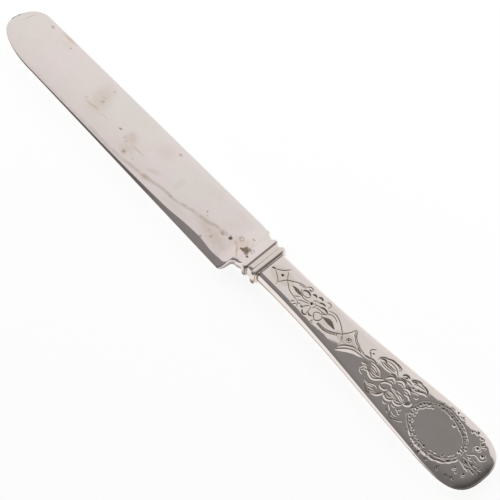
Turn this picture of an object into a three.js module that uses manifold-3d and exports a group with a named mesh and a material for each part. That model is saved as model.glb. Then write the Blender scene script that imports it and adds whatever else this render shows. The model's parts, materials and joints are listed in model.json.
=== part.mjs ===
// A silver-plated butter knife of the old hollow-handled kind, lying flat with its engraved face up.
//
// Eight pieces: a round-ended steel blade, its root shut in the cleft of an iron bolster that ends in a spike
// tang; a moulded collar that the tang passes through; two struck half shells soldered edge to edge and to the
// collar; and the resin cement that holds the tang inside them.
//
// Each piece is drawn in the maker's frame: x along the knife from the collar's front face, positive to the
// blade's tip; y across it, positive to the cutting edge; z square to the flats, zero in the seam. The whole
// knife is then laid on the table, where it touches on the collar's rear reed and on the back of the butt.
// Millimetres, +Z up, origin under the middle of the knife.
import * as THREE from "three";
import { mergeVertices } from "three/addons/utils/BufferGeometryUtils.js";
import Module from "manifold-3d";

// Blade
const bladeReach = 114.5; // collar's front face to the tip
const spineOffset = 7.75; // straight back of the blade, from the knife's axis
const edgeAtHeel = 12.0; // cutting edge at the heel, from the axis
const edgeAtTip = 9.0; // cutting edge where the round of the tip begins
const tipApexOffset = 1.8; // the tip's furthest point lies this far to the edge side
const tipSpineRound = 7.8; // length of the round on the spine side of the tip
const tipEdgeRound = 14.0; // length of the round on the edge side
const spineThicknessAtHeel = 2.3;
const spineThicknessAtTip = 1.1;
const edgeThickness = 0.3;
const spineEase = 0.3; // rounding of the spine's corners
const bevelWidthAtHeel = 3.4; // width of the ground bevel along the edge
const bevelWidthAtTip = 0.5;
const bevelDrop = 10; // slope of that bevel, degrees
const bevelRoundPower = 1.4; // above 1 the bevel is convex
const bevelFadeLength = 46; // the wide bevel of the heel dies out over this length

// Heel, neck and bolster
const neckReach = 4.7; // collar's front face to where the blade's root begins
const heelReach = 8.2; // collar's front face to the corner of the heel
const heelCornerPull = 2.6; // roundness of the heel's corner
const heelNotchPull = 0.8; // roundness of the notch behind it
const spineStepReach = 6.3; // where the spine steps in to the neck
const rootBlend = 1.0; // the thick neck runs out into the blade this far past the heel's corner
const neckHalfWidth = 6.8;
const neckThickness = 3.9;
const neckHollow = 0.25; // how far the neck's sides draw in toward the bead
const beadLength = 2.2; // the bolster's bead, against the collar
const beadRise = 0.6; // how far the bead stands out from the neck's sides
const beadThickness = 6.0;

// Cleft weld between blade and bolster
const tongueLength = 2.9;
const tongueWidth = 9.0;
const tongueThickness = 1.8;
const tongueRooting = 1.0; // how far the tongue is carried into the blade

// Tang
const tangLength = 56; // behind the collar's front face
const tangRootWidth = 4.4;
const tangRootThickness = 3.0;
const tangEndWidth = 2.2;
const tangEndThickness = 1.6;

// Collar
const collarLength = 3.8;
const collarHalfWidth = 6.4; // at the bottom of its front groove
const collarThickness = 5.4; // likewise
const frontReedLength = 1.7;
const frontReedRise = 0.3; // how far the front reed stands out from the groove
const rearReedLength = 1.6;
const rearReedRise = 0.6;
const reedGrooveRise = 0.15; // the fine groove between the reeds stays this far out
const quirkDrop = 0.55; // the quirk behind the reeds lies this far inside the groove's line
const mouldingPower = 5; // squareness of the neck's and collar's section
const spigotLength = 5;
const spigotRooting = 0.5; // how far the spigot is carried into the collar

// Handle shells
const handleReach = 95.9; // collar's front face to the butt
const neckOfHandleHalf = 5.5; // half width where the shells meet the collar
const waistIn = 0.1; // how far the sides draw in behind the collar
const buttHalf = 9.95; // greatest half width
const buttRoundLength = 13; // length of the round end
const buttRoundPower = 3.05; // fullness of the round end
const flareNeckPull = 35.5; // the outline leaves the collar nearly straight over about this length
const flareButtPull = 21.5; // and comes into the widest place over about this one
const handleThicknessAtCollar = 5.6;
const handleThicknessAtButt = 4.2;
const thinningEnd = 62; // the thickness falls as far back as this, and is even from here to the butt
const flatCut = 0.12; // the crown is planished flat by this much
const flatShare = 0.72; // the planished flat reaches this far from the axis to the rim
const crownPowerAtCollar = 7.5; // how square the section is across the handle
const crownPowerAtButt = 6.0;
const rimPower = 3.0; // how blunt its rim is
const shellWall = 0.6;

// Joints and clearances
const seamGap = 0.3; // room for the solder between the two shells
const collarSolderGap = 0.3; // and between the shells and the collar
const solderClearance = 0.03;
const weldClearance = 0.04; // round the tongue in its cleft
const seatClearance = 0.05; // bolster on collar
const spigotClearance = 0.12; // collar's spigot in the shells
const tangClearance = 0.12; // tang in the collar and in the cement
const cementClearance = 0.05; // cement in the shells

// How finely the curves are cut
const heelSteps = 7;
const bladeSteps = 18;
const tipSteps = 11;
const bevelSteps = 3;
const beadSteps = 8;
const reedSteps = 6;
const ovalSteps = 12; // an even count leaves a flat on top and below
const flareSteps = 18;
const buttSteps = 9;
const crownSteps = 6;

const silver = new THREE.MeshStandardMaterial({ color: 0xd8d0c8, roughness: 0.2, metalness: 1 });
const platedSteel = new THREE.MeshStandardMaterial({ color: 0xd6cfca, roughness: 0.18, metalness: 1 });
const solderSilver = new THREE.MeshStandardMaterial({ color: 0xbab4ab, roughness: 0.35, metalness: 1 });
const resinCement = new THREE.MeshStandardMaterial({ color: 0x3a2a20, roughness: 0.9, metalness: 0 });

const wasm = await Module();
wasm.setup();
const { lerp, smoothstep, degToRad } = THREE.MathUtils;

// Closed skin over rings of equal, even length. The two end faces are strips between opposite points, so each
// ring runs out along one side and back along the other.
function skin(rings) {
  const count = rings[0].length;
  const position = rings.flatMap((ring) => ring.flatMap((p) => [p.x, p.y, p.z]));
  const index = [];
  const quad = (a, b, c, d) => index.push(a, b, c, a, c, d);
  for (let r = 0; r + 1 < rings.length; r++) {
    for (let i = 0; i < count; i++) {
      const next = (i + 1) % count;
      quad(r * count + i, r * count + next, (r + 1) * count + next, (r + 1) * count + i);
    }
  }
  const last = (rings.length - 1) * count;
  for (let i = 0; i + 1 < count / 2; i++) {
    const far = count - 1 - i;
    quad(far, far - 1, i + 1, i);
    quad(last + i, last + i + 1, last + far - 1, last + far);
  }
  const geometry = new THREE.BufferGeometry();
  geometry.setAttribute("position", new THREE.Float32BufferAttribute(position, 3));
  geometry.setIndex(index);
  return geometry;
}

// A closed geometry as a solid that can be joined and cut. A skin wound inside out is turned round.
function solidOf(geometry) {
  const bare = geometry.clone();
  bare.deleteAttribute("normal");
  bare.deleteAttribute("uv");
  const merged = mergeVertices(bare, 1e-4);
  const vertProperties = merged.attributes.position.array;
  const triVerts = new Uint32Array(merged.index.array);
  const made = new wasm.Manifold(new wasm.Mesh({ numProp: 3, vertProperties, triVerts }));
  if (made.volume() > 0) return made;
  triVerts.reverse();
  return new wasm.Manifold(new wasm.Mesh({ numProp: 3, vertProperties, triVerts }));
}

function meshOf(name, solid, material) {
  const data = solid.getMesh();
  const geometry = new THREE.BufferGeometry();
  geometry.setAttribute("position", new THREE.BufferAttribute(new Float32Array(data.vertProperties), 3));
  geometry.setIndex(new THREE.BufferAttribute(new Uint32Array(data.triVerts), 1));
  geometry.computeVertexNormals();
  const mesh = new THREE.Mesh(geometry, material);
  mesh.name = name;
  return mesh;
}

// A box between two stations along the knife and two heights, wide of everything, to cut pieces to length.
const beyond = 2 * (bladeReach + handleReach);
function slab(xLow, xHigh, zLow = -beyond, zHigh = beyond) {
  const box = new THREE.BoxGeometry(xHigh - xLow, beyond, zHigh - zLow);
  box.translate((xLow + xHigh) / 2, 0, (zLow + zHigh) / 2);
  return solidOf(box);
}

// Closed ring at station x: an oval squared by mouldingPower, with its half width to each side and its half
// thickness. It runs over the face from spine to edge and back under it.
function ovalRing(x, toSpine, toEdge, half) {
  const ring = [];
  for (let k = 0; k < 2 * ovalSteps; k++) {
    const angle = ((k + 0.5) / ovalSteps) * Math.PI;
    const across = -Math.cos(angle);
    const up = Math.sin(angle);
    const y = Math.sign(across) * Math.abs(across) ** (2 / mouldingPower);
    const z = Math.sign(up) * Math.abs(up) ** (2 / mouldingPower);
    ring.push(new THREE.Vector3(x, y * (y < 0 ? toSpine : toEdge), z * half));
  }
  return ring;
}

// Half of the handle's outline from the collar to the butt: x here runs back along the handle, y is its half
// width. The first point lies at station start, so that a cavity can run out past the shells' front.
const roundStart = handleReach - buttRoundLength;
const flare = new THREE.CubicBezierCurve(
  new THREE.Vector2(collarLength, neckOfHandleHalf),
  new THREE.Vector2(collarLength + flareNeckPull, neckOfHandleHalf - waistIn),
  new THREE.Vector2(roundStart - flareButtPull, buttHalf),
  new THREE.Vector2(roundStart, buttHalf),
);

function halfOutline(start) {
  const points = flare.getSpacedPoints(flareSteps);
  points[0].x = start;
  for (let k = 1; k <= buttSteps; k++) {
    const angle = ((k / (buttSteps + 0.5)) * Math.PI) / 2;
    const along = buttRoundLength * Math.sin(angle) ** (2 / buttRoundPower);
    points.push(new THREE.Vector2(roundStart + along, buttHalf * Math.cos(angle) ** (2 / buttRoundPower)));
  }
  return points;
}

// The handle as a solid, drawn in by inset all round: rings of its outline, each further in and higher up the
// crown than the last, from the flat back to the flat front.
function handleSolid(inset, start) {
  const side = halfOutline(start);
  const inward = side.map((p, i) => {
    if (i === 0) return new THREE.Vector2(0, -1);
    const after = side[i + 1] ?? new THREE.Vector2(p.x, -p.y);
    const along = after.clone().sub(side[i - 1]).normalize();
    return new THREE.Vector2(along.y, -along.x);
  });
  const ringAt = (across, face) => {
    const near = side.map((p, i) => {
      const thinned = smoothstep(p.x, collarLength, thinningEnd);
      const half = lerp(handleThicknessAtCollar, handleThicknessAtButt, thinned) / 2 - inset;
      const power = lerp(crownPowerAtCollar, crownPowerAtButt, thinned);
      const height = Math.min(half, (half + flatCut) * (1 - across ** power) ** (1 / rimPower));
      const halfWidth = p.x > roundStart ? buttHalf : p.y;
      const drawnIn = inset + (1 - across) * (halfWidth - inset);
      const place = p.clone().addScaledVector(inward[i], drawnIn);
      return new THREE.Vector3(-place.x, place.y, face * height);
    });
    const far = near.map((p) => new THREE.Vector3(p.x, -p.y, p.z)).reverse();
    return [...near, ...far];
  };
  const climb = [];
  for (let k = 1; k <= crownSteps; k++) {
    climb.push(1 - (1 - flatShare) * (k / crownSteps) ** 2);
  }
  const back = climb.map((across) => ringAt(across, -1)).reverse();
  const front = climb.map((across) => ringAt(across, 1));
  return solidOf(skin([...back, ringAt(1, 0), ...front]));
}

// Tang, grown by a clearance for the holes that it passes through.
function tangSolid(grow) {
  const corners = [
    [-1, 1],
    [1, 1],
    [1, -1],
    [-1, -1],
  ];
  const ring = (x, width, thickness) =>
    corners.map(([y, z]) => new THREE.Vector3(x, y * (width / 2 + grow), z * (thickness / 2 + grow)));
  const rootFront = (neckReach - tongueLength) / 2;
  return solidOf(
    skin([
      ring(rootFront, tangRootWidth, tangRootThickness),
      ring(-collarLength, tangRootWidth, tangRootThickness),
      ring(-tangLength - grow, tangEndWidth, tangEndThickness),
    ]),
  );
}

// Tongue at the blade's root, grown by a clearance for the cleft that takes it.
function tongueSolid(grow) {
  const long = tongueRooting + tongueLength + grow;
  const box = new THREE.BoxGeometry(long, tongueWidth + 2 * grow, tongueThickness + 2 * grow);
  box.translate(neckReach + tongueRooting - long / 2, 0, 0);
  return solidOf(box);
}

// Outline of the blade: its spine and its edge at a station, each closing in an ellipse at the tip.
const tipSpineStart = bladeReach - tipSpineRound;
const tipEdgeStart = bladeReach - tipEdgeRound;
const heelCurve = new THREE.CubicBezierCurve(
  new THREE.Vector2(neckReach, neckHalfWidth),
  new THREE.Vector2(neckReach + heelNotchPull, neckHalfWidth),
  new THREE.Vector2(heelReach - heelCornerPull, edgeAtHeel),
  new THREE.Vector2(heelReach, edgeAtHeel),
);

function spineAt(x) {
  const straight = lerp(neckHalfWidth, spineOffset, smoothstep(x, neckReach, spineStepReach));
  const intoTip = Math.max(0, (x - tipSpineStart) / tipSpineRound);
  return tipApexOffset - (straight + tipApexOffset) * Math.sqrt(1 - intoTip ** 2);
}

function edgeAt(x) {
  const alongEdge = Math.min(1, (x - heelReach) / (tipEdgeStart - heelReach));
  const intoTip = Math.max(0, (x - tipEdgeStart) / tipEdgeRound);
  const straight = lerp(edgeAtHeel, edgeAtTip, alongEdge);
  return tipApexOffset + (straight - tipApexOffset) * Math.sqrt(1 - intoTip ** 2);
}

// Section of the blade at a station: flat from the spine, then ground convex to the edge. Toward the root it
// turns into the oval of the neck.
function bladeRing(x, edge) {
  const spine = spineAt(x);
  const width = edge - spine;
  const alongBlade = Math.max(0, (x - heelReach) / (bladeReach - heelReach));
  const bevelFade = smoothstep(x, heelReach, heelReach + bevelFadeLength);
  const bevel = Math.min(lerp(bevelWidthAtHeel, bevelWidthAtTip, bevelFade), width / 3);
  const edgeHalf = edgeThickness / 2;
  const bevelRise = bevel * Math.tan(degToRad(bevelDrop));
  const spineHalf = lerp(spineThicknessAtHeel, spineThicknessAtTip, alongBlade) / 2;
  const ease = Math.min(spineEase, width / 6);
  const ground = [
    [spine, spineHalf - ease],
    [spine + ease, spineHalf],
  ];
  for (let k = 0; k <= bevelSteps; k++) {
    const t = k / bevelSteps;
    ground.push([edge - bevel * (1 - t), edgeHalf + bevelRise * (1 - t ** bevelRoundPower)]);
  }
  const rooted = 1 - smoothstep(x, neckReach, heelReach + rootBlend);
  const neck = ovalRing(x, -spine, edge, neckThickness / 2);
  const upper = ground.map(([y, z], i) => {
    const match = neck[Math.round((i / (ground.length - 1)) * (ovalSteps - 1))];
    return new THREE.Vector3(x, lerp(y, match.y, rooted), lerp(z, match.z, rooted));
  });
  const lower = upper.map((p) => new THREE.Vector3(p.x, p.y, -p.z)).reverse();
  return [...upper, ...lower];
}

function makeBlade() {
  const rings = [];
  for (let k = 0; k < heelSteps; k++) {
    const p = heelCurve.getPoint(k / heelSteps);
    rings.push(bladeRing(p.x, p.y));
  }
  for (let k = 0; k < bladeSteps; k++) {
    const x = lerp(heelReach, tipEdgeStart, k / bladeSteps);
    rings.push(bladeRing(x, edgeAt(x)));
  }
  for (let k = 0; k < tipSteps; k++) {
    const x = tipEdgeStart + tipEdgeRound * Math.sin(((k / (tipSteps - 0.6)) * Math.PI) / 2);
    rings.push(bladeRing(x, edgeAt(x)));
  }
  return solidOf(skin(rings)).add(tongueSolid(0));
}

// Bolster: the neck and its bead in one loft, with the tang behind and the cleft for the blade's tongue.
function makeBolster() {
  const neckRing = (x, swell) => {
    const drawnIn = neckHollow * smoothstep(neckReach - x, 0, neckReach - beadLength);
    const halfWidth = neckHalfWidth - drawnIn + beadRise * swell;
    return ovalRing(x, halfWidth, halfWidth, lerp(neckThickness, beadThickness, swell) / 2);
  };
  const rings = [neckRing(neckReach - weldClearance, 0), neckRing((neckReach + beadLength) / 2, 0)];
  for (let k = 0; k <= beadSteps; k++) {
    const angle = (k / beadSteps) * Math.PI;
    const middle = (beadLength + seatClearance) / 2;
    const x = middle + (middle - seatClearance) * Math.cos(angle);
    rings.push(neckRing(x, Math.sin(angle)));
  }
  return solidOf(skin(rings)).add(tangSolid(0)).subtract(tongueSolid(weldClearance));
}

// Collar: two reeds of half-round profile, a quirk behind them and the spigot that enters the shells.
function makeCollar() {
  const rings = [];
  const addRing = (back, rise) =>
    rings.push(ovalRing(-back, collarHalfWidth + rise, collarHalfWidth + rise, collarThickness / 2 + rise));
  const addReed = (from, length, startRise, endRise, crestRise) => {
    for (let k = 0; k <= reedSteps; k++) {
      const angle = (k / reedSteps) * Math.PI;
      const foot = k < reedSteps / 2 ? startRise : endRise;
      addRing(from + (length * (1 - Math.cos(angle))) / 2, foot + (crestRise - foot) * Math.sin(angle));
    }
  };
  const reedsEnd = frontReedLength + rearReedLength;
  addReed(0, frontReedLength, 0, reedGrooveRise, frontReedRise);
  rings.pop();
  addReed(frontReedLength, rearReedLength, reedGrooveRise, 0, rearReedRise);
  addRing(reedsEnd, -quirkDrop);
  addRing(collarLength, -quirkDrop);
  const spigot = handleSolid(shellWall + spigotClearance, collarLength - 2 * spigotRooting).intersect(
    slab(-collarLength - spigotLength, -collarLength + spigotRooting),
  );
  return solidOf(skin(rings)).add(spigot).subtract(tangSolid(tangClearance));
}

// The hollow handle before it is parted: the walls of both shells and the solder that joins them.
const shellFront = collarLength + collarSolderGap;
const handleWalls = handleSolid(0, collarLength).subtract(handleSolid(shellWall, collarLength - spigotRooting));

function makeFrontShell() {
  return handleWalls.intersect(slab(-beyond, -shellFront, seamGap / 2, beyond));
}

function makeBackShell() {
  return handleWalls.intersect(slab(-beyond, -shellFront, -beyond, -seamGap / 2));
}

function makeSeamSolder() {
  const half = seamGap / 2 - solderClearance;
  return handleWalls.intersect(slab(-beyond, -shellFront, -half, half));
}

function makeCollarSolder() {
  return handleWalls.intersect(slab(-shellFront + solderClearance, -collarLength - solderClearance));
}

// Cement: fills the shells behind the spigot, round the tang.
function makeCement() {
  return handleSolid(shellWall + cementClearance, collarLength)
    .intersect(slab(-beyond, -collarLength - spigotLength - cementClearance))
    .subtract(tangSolid(tangClearance));
}

const knife = new THREE.Group();
knife.add(
  meshOf("blade", makeBlade(), platedSteel),
  meshOf("bolster", makeBolster(), platedSteel),
  meshOf("collar", makeCollar(), silver),
  meshOf("front_shell", makeFrontShell(), silver),
  meshOf("back_shell", makeBackShell(), silver),
  meshOf("seam_solder", makeSeamSolder(), solderSilver),
  meshOf("collar_solder", makeCollarSolder(), solderSilver),
  meshOf("cement", makeCement(), resinCement),
);

// Lay the knife down: the butt drops until the end of its flat back and the collar's rear reed stand on one
// plane.
const reedCrest = ovalRing(0, 1, 1, collarThickness / 2 + rearReedRise);
const reedLow = Math.max(...reedCrest.map((p) => p.z));
const reedStation = frontReedLength + rearReedLength / 2;
const flatEnd = handleReach - (1 - flatShare) * buttHalf;
knife.rotation.y = -Math.atan2(reedLow - handleThicknessAtButt / 2, flatEnd - reedStation);
knife.updateMatrixWorld(true);
const box = new THREE.Box3().setFromObject(knife, true);
knife.position.set(-(box.min.x + box.max.x) / 2, -(box.min.y + box.max.y) / 2, -box.min.z);

const part = new THREE.Group();
part.add(knife);
export default part;
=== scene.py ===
import json
import math

import bmesh
import bpy
import numpy as np
from mathutils import Matrix, Vector, kdtree


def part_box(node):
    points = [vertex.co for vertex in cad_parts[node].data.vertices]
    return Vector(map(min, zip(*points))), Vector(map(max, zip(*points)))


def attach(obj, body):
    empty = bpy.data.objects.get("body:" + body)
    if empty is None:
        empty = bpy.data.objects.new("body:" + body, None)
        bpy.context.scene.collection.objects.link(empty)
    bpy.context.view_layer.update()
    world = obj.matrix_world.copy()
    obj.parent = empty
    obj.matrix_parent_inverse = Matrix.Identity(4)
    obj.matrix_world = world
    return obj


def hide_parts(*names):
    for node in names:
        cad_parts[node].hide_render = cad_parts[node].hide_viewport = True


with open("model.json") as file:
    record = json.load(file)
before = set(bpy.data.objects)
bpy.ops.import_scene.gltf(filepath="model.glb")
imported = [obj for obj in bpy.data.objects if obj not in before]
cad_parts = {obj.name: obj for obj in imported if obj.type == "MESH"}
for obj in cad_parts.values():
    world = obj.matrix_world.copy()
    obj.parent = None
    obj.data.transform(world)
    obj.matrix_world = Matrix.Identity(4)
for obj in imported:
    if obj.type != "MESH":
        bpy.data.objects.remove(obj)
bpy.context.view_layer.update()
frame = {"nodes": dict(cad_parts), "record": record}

# Pieces are drawn in millimetres in the maker's own frame: x from the collar's front to the tip, y to the
# cutting edge, z out of the engraved face, zero in the seam. knifePlace then lays them on the table.
layDown = {
    "collarThickness": 5.4,  # at the bottom of the collar's front groove
    "reedStation": 2.5,  # the rear reed's crest, behind the collar's front
    "millimetre": 0.001,
}


def layingMatrix():
    rest = next(m for m in frame["record"]["mounts"] if m["name"] == "rest_flat")
    lean = math.atan2(rest["axis"][0], -rest["axis"][2])
    mm = layDown["millimetre"]
    low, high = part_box("collar")
    origin = Vector((
        high.x - math.sin(lean) * layDown["collarThickness"] / 2 * mm,
        (low.y + high.y) / 2,
        (low.z + high.z) / 2 + math.sin(lean) * layDown["reedStation"] * mm,
    ))
    return Matrix.Translation(origin) @ Matrix.Rotation(-lean, 4, "Y") @ Matrix.Scale(mm, 4)


knifePlace = layingMatrix()


# Small helpers for modelling

def smooth(t):
    t = np.clip(t, 0, 1)
    return t * t * (3 - 2 * t)


# 0 at start and 1 at end, easing in and out
def ramp(value, start, end):
    return smooth((value - start) / (end - start))


# 1 at no distance, almost nothing at twice the width
def bell(distance, width, power=2):
    return np.exp(-((distance / width) ** power))


def mix(a, b, t):
    return a + (b - a) * t


# a smooth curve through the given points
def smoothPath(points, spacing):
    points = np.array(points, float)
    if len(points) == 1:
        return points
    padded = np.vstack([2 * points[0] - points[1], points, 2 * points[-1] - points[-2]])
    runs = []
    for before, start, end, after in zip(padded, padded[1:], padded[2:], padded[3:]):
        steps = max(2, int(np.linalg.norm(end - start) / spacing))
        t = np.linspace(0, 1, steps, endpoint=False)[:, None]
        runs.append(0.5 * (
            2 * start + (end - before) * t + (2 * before - 5 * start + 4 * end - after) * t ** 2
            + (3 * start - before - 3 * end + after) * t ** 3
        ))
    return np.vstack(runs + [points[-1:]])


# a point on the curve that four corners pull into shape
def bezierPoint(corners, t):
    weights = ((1 - t) ** 3, 3 * (1 - t) ** 2 * t, 3 * (1 - t) * t ** 2, t ** 3)
    return sum(w * c for w, c in zip(weights, corners))


def deselectAll():
    if bpy.context.object and bpy.context.object.mode != "OBJECT":
        bpy.ops.object.mode_set(mode="OBJECT")
    bpy.ops.object.select_all(action="DESELECT")


def setRing(piece, ring):
    shape = bmesh.from_edit_mesh(piece.data)
    column = shape.verts.layers.int["column"]
    for v in shape.verts:
        if v.select:
            v.co = ring[v[column]]
    bmesh.update_edit_mesh(piece.data)


# A ring of edges extruded from section to section. Round pieces close on their first ring, others are capped.
def loftPiece(name, rings, closeRound=False):
    deselectAll()
    bpy.ops.mesh.primitive_circle_add(vertices=len(rings[0]), radius=1)
    piece = bpy.context.object
    piece.name = name
    piece.data.attributes.new("column", "INT", "POINT")
    piece.data.attributes["column"].data.foreach_set("value", np.arange(len(rings[0]), dtype=np.int32))
    bpy.ops.object.mode_set(mode="EDIT")
    bpy.ops.mesh.select_mode(type="EDGE")
    bpy.ops.mesh.select_all(action="SELECT")
    setRing(piece, rings[0])
    if not closeRound:
        bpy.ops.mesh.edge_face_add()
        bpy.ops.mesh.select_mode(type="EDGE")
    for ring in rings[1:]:
        bpy.ops.mesh.extrude_edges_move()
        setRing(piece, ring)
    if closeRound:
        bpy.ops.mesh.extrude_edges_move()
        setRing(piece, rings[0])
    else:
        bpy.ops.mesh.edge_face_add()
    closeSkin()
    piece.data.attributes.remove(piece.data.attributes["column"])
    return piece


weldReach = 0.0002  # points closer than this become one


def closeSkin():
    bpy.ops.mesh.select_mode(type="VERT")
    bpy.ops.mesh.select_all(action="SELECT")
    bpy.ops.mesh.remove_doubles(threshold=weldReach)
    bpy.ops.mesh.dissolve_degenerate(threshold=weldReach / 2)
    bpy.ops.mesh.select_all(action="SELECT")
    bpy.ops.mesh.normals_make_consistent(inside=False)
    bpy.ops.object.mode_set(mode="OBJECT")


def pointsOf(piece):
    flat = np.empty(len(piece.data.vertices) * 3, np.float64)
    piece.data.vertices.foreach_get("co", flat)
    return flat.reshape(-1, 3)


def paintGrimeAndShade(piece, values):
    layer = piece.data.attributes.new("grimeAndShade", "FLOAT", "POINT")
    layer.data.foreach_set("value", np.asarray(values, np.float32))


endShade = {
    "from": 6.0, "blend": 0.7,  # where the round ends begin, across the knife
    "wall": 0.68, "wallTop": 0.9,  # painted shade on the ends' walls, darker downwards, and the height that it starts from
    "foot": 0.22, "footTop": -0.2,  # more of it below this height
    "fade": 1.2,
}


# Painted shade darkens the round ends' walls toward the bottom, and dirt gathers in lines across the knife,
# (station, half width, strength) for each. The lines are wider at their ends.
def grimeLinesAndEndShade(points, lines, ends=endShade):
    x, y, z = points.T
    atEnd = smooth((np.abs(y) - ends["from"]) / ends["blend"])
    wall = ends["wall"] * smooth((ends["wallTop"] - z) / ends["fade"])
    foot = ends["foot"] * smooth((ends["footTop"] - z) / ends["fade"])
    soilAndShade = atEnd * (wall + foot)
    for station, width, strength in lines:
        soilAndShade = np.maximum(soilAndShade, strength * bell(x - station, width * (1 + atEnd)))
    return soilAndShade


def finishPiece(piece, node, material, creaseAngle):
    piece.data.transform(knifePlace)
    piece.data.materials.clear()
    piece.data.materials.append(material)
    deselectAll()
    piece.select_set(True)
    bpy.context.view_layer.objects.active = piece
    bpy.ops.object.shade_smooth_by_angle(angle=math.radians(creaseAngle))
    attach(piece, "root")
    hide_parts(node)
    print("made", piece.name, "for", node, len(piece.data.polygons), "faces")


# Small helpers for node trees

def put(tree, kind, inputs=None, **settings):
    made = tree.nodes.new(kind)
    for name, value in settings.items():
        setattr(made, name, value)
    for name, value in (inputs or {}).items():
        if isinstance(value, bpy.types.NodeSocket):
            tree.links.new(value, made.inputs[name])
        else:
            made.inputs[name].default_value = value
    return made


def math2(tree, operation, a, b=0.0, clamp=False):
    return put(tree, "ShaderNodeMath", {0: a, 1: b}, operation=operation, use_clamp=clamp).outputs[0]


def times(tree, a, b, clamp=False):
    return math2(tree, "MULTIPLY", a, b, clamp)


def plus(tree, a, b, clamp=False):
    return math2(tree, "ADD", a, b, clamp)


def mixColour(tree, factor, a, b):
    return put(tree, "ShaderNodeMix", {0: factor, 6: a, 7: b}, data_type="RGBA").outputs[2]


def remap(tree, value, low, high, toLow=0.0, toHigh=1.0, soft=False):
    sockets = {"Value": value, "From Min": low, "From Max": high, "To Min": toLow, "To Max": toHigh}
    kind = "SMOOTHSTEP" if soft else "LINEAR"
    return put(tree, "ShaderNodeMapRange", sockets, interpolation_type=kind).outputs[0]


# A node group from its inputs with their defaults and the names of its outputs
def newGroup(name, inputs, outputs):
    group = bpy.data.node_groups.new(name, "ShaderNodeTree")
    for label, default in inputs.items():
        kind = "NodeSocketFloat" if isinstance(default, float) else "NodeSocketVector"
        group.interface.new_socket(label, in_out="INPUT", socket_type=kind).default_value = default
    for label in outputs:
        group.interface.new_socket(label, in_out="OUTPUT", socket_type="NodeSocketFloat")
    return group, put(group, "NodeGroupInput").outputs, put(group, "NodeGroupOutput").inputs


hairlineLook = {
    "sets": ((0.0, 0.035), (0.42, 0.06), (-0.6, 0.06)),  # turn and stretch of each set, the long one first
    "detail": 3.0,
    "roughness": 0.6,
    "crossing": 0.3,  # how much the turned sets count
    "maskFrom": 0.6,
    "maskFull": 1.0,
}


# Hairlines left by polishing and use: long along x, with a few crossing ones.
def makeHairlines(look):
    inputs = {"Vector": (0.0, 0.0, 0.0), "Fineness": 6.0}
    group, given, result = newGroup("hairlines", inputs, ("Height", "Mask"))
    lines = []
    for turn, stretch in look["sets"]:
        laid = put(group, "ShaderNodeMapping", {
            "Vector": given["Vector"],
            "Rotation": (0.0, 0.0, turn),
            "Scale": (stretch, 1.0, 1.0),
        })
        grain = put(group, "ShaderNodeTexNoise", {
            "Vector": laid.outputs[0],
            "Scale": given["Fineness"],
            "Detail": look["detail"],
            "Roughness": look["roughness"],
        })
        lines.append(grain.outputs["Fac"])
    crossing = plus(group, lines[1], lines[2])
    height = plus(group, lines[0], times(group, crossing, look["crossing"]))
    group.links.new(height, result["Height"])
    group.links.new(remap(group, height, look["maskFrom"], look["maskFull"]), result["Mask"])
    return group


tarnishLook = {"detail": 5.0, "roughness": 0.62, "distortion": 0.4}


# Soft clouds of tarnish, with a speckled edge.
def makeTarnish(look):
    inputs = {"Vector": (0.0, 0.0, 0.0), "Size": 0.06, "Start": 0.5, "End": 0.7}
    group, given, result = newGroup("tarnish", inputs, ("Mask",))
    cloud = put(group, "ShaderNodeTexNoise", {
        "Vector": given["Vector"],
        "Scale": given["Size"],
        "Detail": look["detail"],
        "Roughness": look["roughness"],
        "Distortion": look["distortion"],
    })
    mask = remap(group, cloud.outputs["Fac"], given["Start"], given["End"], soft=True)
    group.links.new(mask, result["Mask"])
    return group


spotLook = {
    "grain": 1.6,  # of the noise that tears the edge
    "detail": 4.0,
    "roughness": 0.7,
    "tear": 4.0,
    "edge": 1.15,  # where a mark ends, in its half lengths
    "full": 0.8,  # where it is full if its edge is hard
    "softer": 0.9,  # how much further in that lies for a soft one
    "middleFrom": 0.75,  # the hollow of a ring
    "middleFull": 0.35,
}


# One mark of rust or dried food, longer than wide if need be, with a ragged or soft edge or a hollow middle.
def makeSpot(look):
    inputs = {
        "Vector": (0.0, 0.0, 0.0), "Centre": (0.0, 0.0, 0.0), "Sizes": (1.0, 1.0, 1.0), "Turn": 0.0,
        "Ragged": 0.5, "Soft": 0.3, "Hollow": 0.0,
    }
    group, given, result = newGroup("spot", inputs, ("Mask",))
    away = put(group, "ShaderNodeVectorMath", {0: given["Vector"], 1: given["Centre"]}, operation="SUBTRACT")
    flat = put(group, "ShaderNodeVectorMath", {0: away.outputs[0], 1: (1.0, 1.0, 0.0)}, operation="MULTIPLY")
    turned = put(group, "ShaderNodeVectorRotate", {
        "Vector": flat.outputs[0], "Angle": times(group, given["Turn"], -1.0),
    }, rotation_type="Z_AXIS")
    scaled = put(group, "ShaderNodeVectorMath", {0: turned.outputs[0], 1: given["Sizes"]}, operation="DIVIDE")
    reach = put(group, "ShaderNodeVectorMath", {0: scaled.outputs[0]}, operation="LENGTH").outputs["Value"]
    torn = put(group, "ShaderNodeTexNoise", {
        "Vector": given["Vector"],
        "Scale": look["grain"],
        "Detail": look["detail"],
        "Roughness": look["roughness"],
    }).outputs["Fac"]
    shift = times(group, math2(group, "SUBTRACT", torn, 0.5), given["Ragged"])
    edge = plus(group, reach, times(group, shift, look["tear"]))
    full = math2(group, "SUBTRACT", look["full"], times(group, given["Soft"], look["softer"]))
    mask = remap(group, edge, look["edge"], full, soft=True)
    middle = times(group, remap(group, edge, look["middleFrom"], look["middleFull"]), given["Hollow"])
    ring = times(group, mask, math2(group, "SUBTRACT", 1.0, middle))
    group.links.new(ring, result["Mask"])
    return group


hairlines = makeHairlines(hairlineLook)
tarnish = makeTarnish(tarnishLook)
spot = makeSpot(spotLook)


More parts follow.
